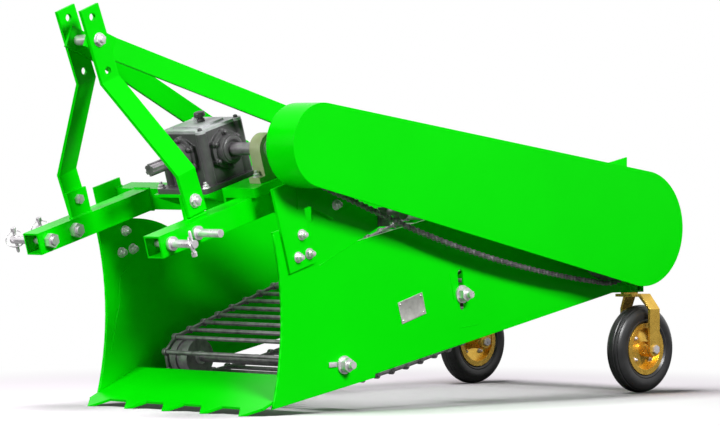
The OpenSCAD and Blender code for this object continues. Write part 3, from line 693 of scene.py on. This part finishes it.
@dataclass
class DriveChain(Trim):
    """Roller chain round both sprockets and over the tensioner's shoe."""

    front_u: float = 459.0
    front_v: float = 134.0
    front_radius: float = 76.0
    rear: Circle = (1345.0, 470.0, 145.0)
    shoe: Circle = (505.0, 536.0, 28.0)
    hang_radius: float = 4000.0
    middle_x: float = 408.0
    links: int = 164
    plate_radius: float = 7.4
    plate_chamfer: float = 0.5
    waist: float = 9.6
    waist_round: float = 0.4
    plate: float = 1.9
    inner_x: float = 5.2
    outer_x: float = 7.6
    roller_radius: float = 5.6
    roller_half: float = 4.0
    pin_radius: float = 2.8
    pin_half: float = 9.4
    pin_chamfer: float = 0.8
    sides: int = 10

    def build(self) -> None:
        """Make the chain and let it stand for the plain one."""
        hub = HITCH.at(0.0, self.front_u, self.front_v) - DATUM.at(0.0, 0.0, 0.0)
        front = (hub.y / MM, hub.z / MM, self.front_radius)
        loop = Loop([front, self.rear, Loop.hanging(self.shoe, self.rear, self.hang_radius), self.shoe])
        pitch = loop.length / self.links
        poses = loop.poses(self.middle_x, self.links)
        parts = [Bench.set_out(self.side_plates(pitch, self.inner_x), poses[0::2], "inner"),
                 Bench.set_out(self.side_plates(pitch, self.outer_x), poses[1::2], "outer"),
                 Bench.set_out(self.roller(), poses, "rollers")]
        self.shop.hand_over(Bench.join(parts, "drive_chain"), Slot.DARK, stands_for="chain")

    def side_plates(self, pitch: float, x: float) -> Piece:
        """A pair of waisted side plates from pin to pin.

        Args:
            pitch: Distance between the pins.
            x: Distance of each plate from the chain's middle.

        Returns:
            The two plates as one object.
        """
        parts: List[Piece] = []
        for side in (-x, x):
            for y in (0.0, pitch):
                eye = Bench.bush(0.0, self.plate_radius, self.plate / 2.0, self.plate_chamfer, self.sides)
                parts.append(Bench.shift(Bench.tip(eye), (side, y, 0.0)))
            bar = Bench.block((self.plate, pitch, self.waist), self.waist_round)
            parts.append(Bench.shift(bar, (side, pitch / 2.0, 0.0)))
        return Bench.join(parts, "plates")

    def roller(self) -> Piece:
        """A roller on its pin, with the pin's riveted ends.

        Returns:
            The roller, its pin along X.
        """
        w, r = self.roller_half, self.roller_radius
        pin, end, cut = self.pin_radius, self.pin_half, self.pin_chamfer
        half = [(0.0, end), (pin - cut, end), (pin, end - cut), (pin, w), (r, w)]
        outline = [(a, -b) for a, b in half] + half[::-1]
        return Bench.tip(Bench.turned(outline, self.sides))


@dataclass(frozen=True)
class Bolt:
    """A hexagon nut on a washer, with the rounded end of its screw."""

    corners: float
    head: float
    washer: float
    sheet: float
    screw: float
    proud: float
    washer_sides: int = 22
    screw_sides: int = 14

    def set_out(self, poses: Sequence[Matrix], name: str) -> Piece:
        """Model the bolt, with its seat at the origin and its screw along Z, and put one at each pose.

        Args:
            poses: Where the bolts go.
            name: The name of the result.

        Returns:
            All bolts as one object.
        """
        r, rim, s, h = self.corners / 2.0, self.washer, self.sheet, self.sheet + self.head
        end, top = self.screw, h + self.proud
        washer = [(0.0, 0.0), (rim, 0.0), (rim, s - 0.5), (rim - 0.5, s), (0.0, s)]
        nut = [(0.0, s), (r - 0.6, s), (r, s + 0.8), (r, h - 1.4), (r - 1.9, h), (end, h), (0.0, h)]
        screw = [(0.0, h - 1.0), (end, h - 1.0), (end, top - 1.5), (end - 1.2, top - 0.3), (0.0, top)]
        parts = [Bench.turned(washer, self.washer_sides), Bench.turned(nut, HEXAGON),
                 Bench.turned(screw, self.screw_sides)]
        return Bench.set_out(Bench.join(parts, "bolt"), poses, name)


PLATE_BOLT = Bolt(24.0, 10.0, 15.0, 3.0, 7.0, 9.0)
FLANGE_BOLT = Bolt(13.0, 5.5, 7.0, 1.2, 3.5, 1.2)
FOOT_BOLT = Bolt(19.0, 8.0, 12.0, 2.0, 5.0, 8.0)
MAST_NUT = Bolt(34.0, 9.5, 19.0, 2.5, 8.2, 7.0)
RIM_BOLT = Bolt(13.0, 6.0, 8.0, 1.5, 4.0, 4.0)


@dataclass
class PlateFixings(Trim):
    """Bolts on the side plates, the guard's back plate bolt and the blank name plate."""

    inner_x: float = 349.0
    outer_x: float = 363.0
    guard_x: float = 367.0
    plate_x: float = 355.0
    leg_bolts: Tuple[Point, ...] = ((177.0, 480.0), (164.0, 420.0), (205.0, 429.0))
    guard_bolt: Point = (301.0, 559.0)
    roll: float = 12.0
    name_plate: Point = (603.0, 272.0)
    name_plate_size: Vec3 = (2.4, 98.0, 62.0)
    name_plate_round: float = 0.6
    name_plate_tilt: float = 16.0
    rim: float = 2.2
    sink: float = 0.5
    rivet: Tuple[Point, ...] = ((0.0, 0.0), (3.2, 0.0), (2.9, 1.0), (1.8, 1.8), (0.0, 2.1))
    rivet_inset: float = 8.0
    rivet_seat: float = 0.4
    rivet_sides: int = 12
    outward: float = 0.99

    def build(self) -> None:
        """Make the bolts and the name plate."""
        poses: List[Matrix] = []
        for y, z in self.leg_bolts:
            for x, way, roll in ((self.outer_x, LEFT, self.roll + y), (self.inner_x, RIGHT, self.roll),
                                 (-self.inner_x, LEFT, self.roll - y), (-self.outer_x, RIGHT, self.roll)):
                poses.append(Bench.facing(DATUM.at(x, y, z), way, roll))
        poses.append(Bench.facing(DATUM.at(self.guard_x, *self.guard_bolt), LEFT, self.roll))
        self.shop.hand_over(PLATE_BOLT.set_out(poses, "plate_bolts"), Slot.BRIGHT)
        self.plate()

    def plate(self) -> None:
        """Make the blank name plate with a raised rim and four rivets."""
        thick, wide, tall = self.name_plate_size
        plate = Bench.block(self.name_plate_size, self.name_plate_round)
        Bench.edit(plate, "FACE")
        bpy.ops.mesh.select_all(action="DESELECT")
        bpy.ops.object.mode_set(mode="OBJECT")
        for face in plate.data.polygons:
            face.select = face.normal.x > self.outward
        bpy.ops.object.mode_set(mode="EDIT")
        bpy.ops.mesh.inset(thickness=self.rim * MM, depth=-self.sink * MM)
        Bench.close()
        Bench.shift(plate, (thick / 2.0, 0.0, 0.0))
        y, z = wide / 2.0 - self.rivet_inset, tall / 2.0 - self.rivet_inset
        spots = [Vector((thick - self.rivet_seat, a * y, b * z)) * MM for a, b in CORNERS]
        rivet = Bench.turned(self.rivet, self.rivet_sides)
        rivets = Bench.set_out(rivet, [Bench.facing(spot, LEFT) for spot in spots], "rivets")
        whole = Bench.join([plate, rivets], "name_plate")
        tilt = Matrix.Rotation(math.radians(self.name_plate_tilt), 4, "X")
        whole.data.transform(Matrix.Translation(DATUM.at(self.plate_x, *self.name_plate)) @ tilt)
        self.shop.hand_over(whole, Slot.PLATE)


@dataclass
class LinchPins(Trim):
    """Linch pins with sprung rings, through the ends of the lower hitch pins."""

    first: float = 37.0
    step: float = 94.0
    hole_x: float = 357.0
    shank: float = 4.6
    low: float = -37.0
    high: float = 21.0
    ring: float = 26.0
    ring_squash: float = 0.86
    wire: float = 2.0
    eye: float = 4.0
    lean: float = 9.0
    roll: float = 135.0
    sides: int = 14

    def build(self) -> None:
        """Make one pin and set it out on three of the four hitch pins."""
        spots = ((self.hole_x, self.first, -1.0), (-self.hole_x, self.first, 1.0),
                 (-self.hole_x, self.first + self.step, 1.0))
        poses = [Bench.facing(HITCH.at(x, u, 0.0), HITCH_UP * way, self.roll) for x, u, way in spots]
        self.shop.hand_over(Bench.set_out(self.model(), poses, "linch_pins"), Slot.BRIGHT)

    def model(self) -> Piece:
        """Model a pin with a blunt point, a head and a ring that clasps the hitch pin.

        Returns:
            The pin, along Z with the hitch pin at the origin.
        """
        r, low, high = self.shank, self.low, self.high
        outline = [(0.0, low), (r - 2.0, low + 1.0), (r, low + 6.0), (r, high), (r + 3.0, high + 2.0),
                   (r + 3.0, high + 12.0), (r + 1.0, high + 14.0), (0.0, high + 14.0)]
        shank = Bench.turned(outline, self.sides)
        bpy.ops.mesh.primitive_torus_add(major_segments=28, minor_segments=8, major_radius=self.ring * MM,
                                         minor_radius=self.wire * MM)
        ring = Bench.tip(Bench.squash(bpy.context.object, (self.ring_squash, 1.0, 1.0)))
        Bench.tip(Bench.shift(ring, (0.0, 0.0, -self.ring_squash * self.ring)), self.lean)
        return Bench.join([shank, Bench.shift(ring, (0.0, 0.0, high + self.eye))], "linch_pin")


@dataclass
class GearboxTrim(Trim):
    """Bolts, rings and breather of the gearbox, and the olive bearing's bolts and rings."""

    u: float = 459.0
    v: float = 134.0
    half_width: float = 83.0
    half_length: float = 73.0
    lid_v: float = 70.0
    lid_inset: float = 5.0
    flange: float = 16.0
    flange_bolts: int = 6
    bolt_circle: float = 48.0
    seal_x: float = 34.0
    seal_u: float = 36.0
    seal_bore: float = 21.9
    foot_v: float = 52.0
    foot_u: float = 100.0
    foot_x: float = 90.0
    foot_roll: float = 14.0
    side_roll: float = 9.0
    front_roll: float = 7.0
    lid_roll: Point = (20.0, 11.0)
    bearing_x: float = 250.0
    bearing_half: float = 21.0
    bearing_bore: float = 17.9
    bearing_foot_v: float = 72.0
    bearing_foot_u: float = 54.0
    ring_sides: int = 40
    breather_sides: int = 18
    breather: Vec3 = (8.0, 4.0, 76.0)
    breather_outline: Tuple[Point, ...] = (
        (0.0, 0.0), (12.0, 0.0), (12.0, 8.0), (9.0, 9.0), (9.0, 13.0), (15.0, 14.0), (16.0, 16.0),
        (16.0, 24.0), (14.0, 27.0), (6.0, 29.0), (0.0, 29.5))

    def spot(self, x: float, u: float, v: float) -> Vector:
        """Place measured from the gearbox's middle, in millimetres."""
        return HITCH.at(x, self.u + u, self.v + v)

    def build(self) -> None:
        """Make the trim."""
        dark: List[Matrix] = []
        side, front = self.half_width + self.flange, -self.half_length - self.flange
        for step in range(self.flange_bolts):
            a = FULL_TURN * (step + 0.5) / self.flange_bolts
            c, s = Loop.rim((0.0, 0.0, self.bolt_circle), a)
            dark.append(Bench.facing(self.spot(side, c, s), LEFT, self.side_roll * step))
            dark.append(Bench.facing(self.spot(c, front, s), HITCH_FRONT, self.front_roll * step))
        x, u = self.half_width - self.lid_inset, self.half_length - self.lid_inset
        for a, b in CORNERS:
            roll = self.lid_roll[0] * a + self.lid_roll[1] * b
            dark.append(Bench.facing(self.spot(a * x, b * u, self.lid_v), HITCH_UP, roll))
        self.shop.hand_over(FLANGE_BOLT.set_out(dark, "gearbox_bolts"), Slot.CAST)
        bright: List[Matrix] = []
        for a, b in CORNERS:
            foot = HITCH.at(a * self.foot_x, self.u + b * self.foot_u, self.foot_v)
            bright.append(Bench.facing(foot, HITCH_UP, self.foot_roll * a))
        for b in BOTH:
            foot = HITCH.at(self.bearing_x, self.u + b * self.bearing_foot_u, self.bearing_foot_v)
            bright.append(Bench.facing(foot, HITCH_UP))
        self.shop.hand_over(FOOT_BOLT.set_out(bright, "gearbox_feet_bolts"), Slot.BRIGHT)
        self.rings()
        cap = Bench.turned(self.breather_outline, self.breather_sides)
        pose = Bench.facing(self.spot(*self.breather), HITCH_UP)
        self.shop.hand_over(Bench.set_out(cap, [pose], "breather"), Slot.CAST)

    def rings(self) -> None:
        """Make the seal rings on the flanges and the insert rings of the bearing."""
        bore = self.seal_bore
        seal = [(bore, 0.0), (36.0, 0.0), (36.0, 3.0), (33.0, 5.0), (26.0, 5.0), (24.0, 2.5),
                (bore, 2.5), (bore, 0.0)]
        poses = [Bench.facing(self.spot(self.half_width + self.seal_x, 0.0, 0.0), LEFT),
                 Bench.facing(self.spot(0.0, -self.half_length - self.seal_u, 0.0), HITCH_FRONT)]
        rings = Bench.set_out(Bench.turned(seal, self.ring_sides), poses, "shaft_seals")
        self.shop.hand_over(rings, Slot.CAST)
        bore = self.bearing_bore
        insert = [(bore, 0.0), (31.0, 0.0), (31.0, 2.0), (28.0, 3.5), (25.0, 3.5), (25.0, 8.0), (24.0, 9.0),
                  (bore, 9.0), (bore, 0.0)]
        poses = [Bench.facing(self.spot(self.bearing_x + side.x * self.bearing_half, 0.0, 0.0), side)
                 for side in (LEFT, RIGHT)]
        rings = Bench.set_out(Bench.turned(insert, self.ring_sides), poses, "bearing_inserts")
        self.shop.hand_over(rings, Slot.BRIGHT)


@dataclass
class MastNuts(Trim):
    """Heavy nuts on the mast's bolts and the lock tabs beside the front roller studs."""

    foot_u: float = 175.0
    foot_v: float = 75.0
    foot_x: float = 245.0
    foot_roll: float = 10.0
    lean: float = 5.0
    rise: float = 457.0
    head_x: float = 53.0
    head_roll: float = 24.0
    tab: Point = (300.0, 128.0)
    tab_size: Vec3 = (4.0, 30.0, 14.0)
    tab_round: float = 1.2
    plate_x: float = 355.0

    def build(self) -> None:
        """Make the nuts and the tabs."""
        c, s = math.cos(math.radians(self.lean)), math.sin(math.radians(self.lean))
        head_u, head_v = self.foot_u - self.rise * s, self.foot_v + self.rise * c
        poses: List[Matrix] = []
        for sign in BOTH:
            foot = HITCH.at(sign * self.foot_x, self.foot_u, self.foot_v)
            head = HITCH.at(sign * self.head_x, head_u, head_v)
            poses.append(Bench.facing(foot, LEFT * sign, self.foot_roll))
            poses.append(Bench.facing(head, LEFT * sign, self.head_roll))
        self.shop.hand_over(MAST_NUT.set_out(poses, "mast_nuts"), Slot.BRIGHT)
        tabs: List[Piece] = []
        for sign in BOTH:
            tab = Bench.block(self.tab_size, self.tab_round)
            x = sign * (self.plate_x + self.tab_size[0] / 2.0)
            tab.data.transform(Matrix.Translation(DATUM.at(x, *self.tab)))
            tabs.append(tab)
        self.shop.hand_over(Bench.join(tabs, "lock_tabs"), Slot.BRIGHT)


@dataclass
class PlateFolds(Trim):
    """Rolled front lips of the side plates, the crease under the ear and stray weld marks."""

    plate_x: float = 355.0
    inner_x: float = 349.0
    front_y: float = 78.0
    bow: float = 34.0
    foot_z: float = 16.0
    top_z: float = 486.0
    end_gap: float = 8.0
    proud: float = 1.0
    steps: int = 12
    lip_bead: float = 3.4
    fold_bead: float = 2.6
    crease_bead: float = 1.5
    mark_bead: float = 1.3
    bead_slope: float = 0.7
    bead_sides: int = 10
    fold: Tuple[Point, ...] = ((186.0, 377.0), (160.0, 354.0), (156.0, 274.0), (124.0, 142.0))
    crease: Tuple[Point, ...] = ((253.0, 397.0), (424.0, 475.0))
    marks: Tuple[Tuple[Point, ...], ...] = (
        ((737.0, 437.0), (741.0, 407.0)), ((753.0, 362.0), (769.0, 290.0)), ((791.0, 212.0), (865.0, 219.0)))

    def build(self) -> None:
        """Make the lips, the folds and the marks."""
        lip = self.front_edge()
        runs = [(x, lip, self.lip_bead) for x in (self.plate_x, -self.plate_x)]
        runs += [(x, self.fold, self.fold_bead) for x in (self.inner_x, -self.inner_x)]
        runs += [(self.plate_x, self.crease, self.crease_bead)]
        runs += [(self.plate_x, mark, self.mark_bead) for mark in self.marks]
        parts = [self.run(x, line, radius) for x, line, radius in runs]
        self.shop.hand_over(Bench.join(parts, "plate_folds"), Slot.GREEN, angle=60.0)

    def front_edge(self) -> List[Point]:
        """Points along the hollow front edge of a side plate.

        Returns:
            Places rearwards and upwards in millimetres.
        """
        half, middle = (self.top_z - self.foot_z) / 2.0, (self.top_z + self.foot_z) / 2.0
        radius = (half * half + self.bow * self.bow) / (2.0 * self.bow)
        hollow = self.front_y + self.bow - radius + self.proud
        heights = [(half - self.end_gap) * (2.0 * step / self.steps - 1.0) for step in range(self.steps + 1)]
        return [(hollow + math.sqrt(radius * radius - z * z), middle + z) for z in heights]

    def run(self, x: float, line: Sequence[Point], radius: float) -> Piece:
        """Lay round-ended beads along a line on a plate.

        Args:
            x: The plate's face.
            line: Places rearwards and upwards.
            radius: Radius of the bead.

        Returns:
            The beads as one object.
        """
        parts: List[Piece] = []
        slope = self.bead_slope * radius
        for (y0, z0), (y1, z1) in zip(line, line[1:]):
            a, b = DATUM.at(x, y0, z0), DATUM.at(x, y1, z1)
            end = (b - a).length / MM
            bead = Bench.turned([(0.0, -radius), (slope, -slope), (radius, 0.0), (radius, end),
                                 (slope, end + slope), (0.0, end + radius)], self.bead_sides)
            parts.append(Bench.set_out(bead, [Bench.facing(a, (b - a).normalized())], "bead"))
        return Bench.join(parts, "run")


@dataclass
class WeldSeams(Trim):
    """Painted weld beads where the hitch is welded together."""

    bead: float = 3.4
    bead_shares: Vec3 = (1.25, 1.25, 0.8)
    bead_roll: float = 31.0
    pitch: float = 4.2
    tube_x: float = 245.0
    half: float = 30.0
    beam_u: float = 421.0
    leg_u: float = 444.0
    leg_x: float = 355.0
    lug_u: Point = (140.0, 210.0)
    lug_x: Point = (225.0, 235.0)

    def seams(self) -> List[Tuple[Vector, Vector]]:
        """Find every seam.

        Returns:
            The ends of each.
        """
        found: List[Tuple[Vector, Vector]] = []
        h, beam = self.half, self.beam_u
        for side in BOTH:
            inner, outer, leg = (side * x for x in (self.tube_x - h, self.tube_x + h, self.leg_x))
            spans = [((inner, beam, v), (outer, beam, v)) for v in (-h, h)]
            spans += [((x, beam, -h), (x, beam, h)) for x in (inner, outer)]
            spans += [((side * x, self.lug_u[0], h), (side * x, self.lug_u[1], h)) for x in self.lug_x]
            spans += [((leg, beam, v), (leg, self.leg_u, v)) for v in (-h, h)]
            found += [(HITCH.at(*a), HITCH.at(*b)) for a, b in spans]
        return found

    def build(self) -> None:
        """Lay overlapping beads along every seam."""
        bpy.ops.mesh.primitive_uv_sphere_add(segments=8, ring_count=6, radius=self.bead * MM)
        bead = Bench.squash(bpy.context.object, self.bead_shares)
        poses: List[Matrix] = []
        for a, b in self.seams():
            count = max(2, int((b - a).length / (self.pitch * MM)))
            poses += [Bench.facing(a.lerp(b, i / count), (b - a).normalized(), self.bead_roll * i)
                      for i in range(count + 1)]
        self.shop.hand_over(Bench.set_out(bead, poses, "weld_beads"), Slot.GREEN, angle=80.0)


@dataclass
class Wheel(Trim):
    """Tyre with a grooved round tread, and the rim's bolts, of one castor wheel."""

    side: str
    x: float
    y: float = 1562.0
    radius: float = 127.5
    half_width: float = 28.0
    shoulder: float = 26.0
    seat_radius: float = 66.0
    seat: float = 20.0
    lip: float = 9.0
    wall: Tuple[Point, ...] = ((5.0, 2.5), (8.0, 0.2), (11.0, 1.2), (14.0, 0.1))
    groove: float = 1.8
    grooves: Tuple[int, ...] = (9, 13)
    steps: int = 16
    sides: int = 80
    bolts: int = 4
    bolt_circle: float = 44.0
    bolt_faces: Point = (7.0, 0.0)
    bolt_roll: float = 15.0

    def outline(self) -> List[Point]:
        """Section of the tyre, with grooves round its tread.

        Returns:
            Points as radius and width in millimetres.
        """
        top, w = self.radius - self.shoulder, self.half_width - self.shoulder
        bead = self.seat_radius + self.lip
        half = [(self.seat_radius, self.seat), (bead - 1.0, self.seat), (bead + 1.0, self.seat + 2.0)]
        half += [(bead + rise, self.half_width - inset) for rise, inset in self.wall]
        for step in range(self.steps + 1):
            a = math.radians(90.0 * step / self.steps)
            r = self.shoulder - (self.groove if step in self.grooves else 0.0)
            half.append((top + r * math.sin(a), w + r * math.cos(a)))
        return half + [(r, -x) for r, x in reversed(half)] + half[:1]

    def build(self) -> None:
        """Make the tyre and the rim's bolts."""
        body = "wheel_" + self.side
        pose = Bench.facing(DATUM.at(self.x, self.y, self.radius), LEFT)
        tyre = Bench.set_out(Bench.turned(self.outline(), self.sides), [pose], "tread_" + self.side)
        self.shop.hand_over(tyre, Slot.RUBBER, body, "tyre_" + self.side)
        poses: List[Matrix] = []
        outwards = math.copysign(1.0, self.x)
        for sign, face in zip((outwards, -outwards), self.bolt_faces):
            for step in range(self.bolts):
                a = FULL_TURN * (step + 0.5) / self.bolts
                y, z = Loop.rim((self.y, self.radius, self.bolt_circle), a)
                spot = DATUM.at(self.x + sign * face, y, z)
                poses.append(Bench.facing(spot, LEFT * sign, self.bolt_roll * step))
        self.shop.hand_over(RIM_BOLT.set_out(poses, "rim_bolts_" + self.side), Slot.BRIGHT, body)


@dataclass
class Studio:
    """White floor, soft light and the photograph's camera."""

    eye: Vec3 = (8.4252, -8.2540, 0.7210)
    azimuth: float = 45.44
    pitch: float = 0.936
    lens: float = 210.03
    sensor: float = 36.0
    far: float = 200.0
    floor_size: float = 60.0
    floor_z: float = -0.0005
    floor_color: Color = (0.84, 0.78, 0.84)
    floor_roughness: float = 0.95
    bounce: float = 0.22
    glow: float = 0.04
    fade: Point = (1.05, 2.0)
    ambient: float = 0.05
    aim: Vec3 = (0.0, 0.0, 0.4)
    lamps: Tuple[Lamp, ...] = (
        ("key", (6.3, -1.4, 4.4), 1.6, 625.0),
        ("front", (-1.4, -6.6, 2.4), 2.6, 350.0),
        ("top", (-0.6, 0.6, 5.2), 2.4, 50.0))
    ground_lamp: Lamp = ("ground", (0.4, -1.8, 4.8), 2.4, 370.0)

    def build(self) -> None:
        """Make the camera, the floor, the world and the lamps."""
        self.camera()
        floor = self.floor()
        self.world()
        for lamp in self.lamps:
            self.share_light(self.lamp(*lamp), floor, "EXCLUDE")
        self.share_light(self.lamp(*self.ground_lamp), floor, "INCLUDE")

    def camera(self) -> None:
        """Set the camera as it stood for the photograph."""
        data = bpy.data.cameras.new("view")
        data.lens = self.lens
        data.sensor_width = self.sensor
        data.sensor_fit = "HORIZONTAL"
        data.clip_end = self.far
        camera = bpy.data.objects.new("view", data)
        camera.location = self.eye
        camera.rotation_euler = (math.radians(90.0 - self.pitch), 0.0, math.radians(self.azimuth))
        bpy.context.scene.collection.objects.link(camera)
        bpy.context.scene.camera = camera

    def floor(self) -> Piece:
        """Lay a pale floor that keeps the shadow and fades to white further off.

        Returns:
            The floor.
        """
        bpy.ops.mesh.primitive_plane_add(size=self.floor_size, location=(0.0, 0.0, self.floor_z))
        floor = bpy.context.object
        floor.name = "floor"
        tree = NodeTree("floor_white")
        tree.shader.inputs["Roughness"].default_value = self.floor_roughness
        tree.shader.inputs["Specular IOR Level"].default_value = 0.0
        path = tree.node("LightPath")
        sight = tree.ramp(path, [(0.0, (self.bounce,) * 3), (1.0, self.floor_color)], "Is Camera Ray")
        tree.link(sight, "Color", tree.shader, "Base Color")
        near = tree.node("Emission", {"Color": (self.glow, self.glow, self.glow, 1.0)})
        white = tree.node("Emission", {"Color": WHITE})
        for light in (near, white):
            tree.link(path, "Is Camera Ray", light, "Strength")
        both = tree.node("AddShader")
        tree.link(tree.shader, "BSDF", both, 0)
        tree.link(near, "Emission", both, 1)
        reach = tree.node("VectorMath")
        reach.operation = "LENGTH"
        tree.link(tree.coords, "Object", reach, "Vector")
        fade = tree.node("MapRange", {"From Min": self.fade[0], "From Max": self.fade[1]})
        fade.interpolation_type = "SMOOTHSTEP"
        tree.link(reach, "Value", fade, "Value")
        mix = tree.node("MixShader")
        tree.link(fade, "Result", mix, "Fac")
        tree.link(both, "Shader", mix, 1)
        tree.link(white, "Emission", mix, 2)
        tree.link(mix, "Shader", tree.out, "Surface")
        floor.data.materials.append(tree.material)
        return floor

    @staticmethod
    def share_light(lamp: Piece, receiver: Piece, state: str) -> None:
        """Let a lamp shine on one object only, or on all but that one.

        Args:
            lamp: The lamp.
            receiver: The object.
            state: INCLUDE for that object only, EXCLUDE for all but it.
        """
        group = bpy.data.collections.new(lamp.name + "_receivers")
        group.objects.link(receiver)
        group.collection_objects[0].light_linking.link_state = state
        lamp.light_linking.receiver_collection = group

    def world(self) -> None:
        """Faint light all round, white where the camera or a gloss sees it."""
        world = bpy.data.worlds.new("studio")
        bpy.context.scene.world = world
        world.use_nodes = True
        nodes, links = world.node_tree.nodes, world.node_tree.links
        nodes.clear()
        path = nodes.new("ShaderNodeLightPath")
        seen = path.outputs["Is Camera Ray"]
        for ray in ("Is Transmission Ray", "Is Glossy Ray"):
            either = nodes.new("ShaderNodeMath")
            either.operation = "MAXIMUM"
            links.new(seen, either.inputs[0])
            links.new(path.outputs[ray], either.inputs[1])
            seen = either.outputs["Value"]
        mix = nodes.new("ShaderNodeMixShader")
        links.new(seen, mix.inputs["Fac"])
        for socket, strength in ((1, self.ambient), (2, 1.0)):
            light = nodes.new("ShaderNodeBackground")
            light.inputs["Color"].default_value = WHITE
            light.inputs["Strength"].default_value = strength
            links.new(light.outputs["Background"], mix.inputs[socket])
        out = nodes.new("ShaderNodeOutputWorld")
        links.new(mix.outputs["Shader"], out.inputs["Surface"])

    def lamp(self, name: str, place: Vec3, size: float, power: float) -> Piece:
        """Hang a square lamp that shines at the digger's middle.

        Args:
            name: The lamp's name.
            place: Where it hangs, in metres.
            size: Length of its sides.
            power: Its power in watts.

        Returns:
            The lamp.
        """
        data = bpy.data.lights.new(name, "AREA")
        data.size = size
        data.energy = power
        lamp = bpy.data.objects.new(name, data)
        lamp.location = place
        lamp.rotation_euler = (Vector(self.aim) - Vector(place)).to_track_quat("-Z", "Y").to_euler()
        bpy.context.scene.collection.objects.link(lamp)
        return lamp


def main() -> None:
    """Build the looks in order and report each piece."""
    logging.basicConfig(level=logging.INFO, format="%(message)s")
    bpy.context.scene.view_settings.view_transform = "Standard"
    paint = Paintbox()
    paint.dress_nodes()
    shop = Workshop(paint)
    for trim in (RodWeb, DriveChain, PlateFixings, LinchPins, GearboxTrim, MastNuts, PlateFolds, WeldSeams):
        trim(shop).build()
    for side, x in (("left", WHEEL_X), ("right", -WHEEL_X)):
        Wheel(shop, side, x).build()
    Studio().build()


if __name__ == "__main__":
    main()
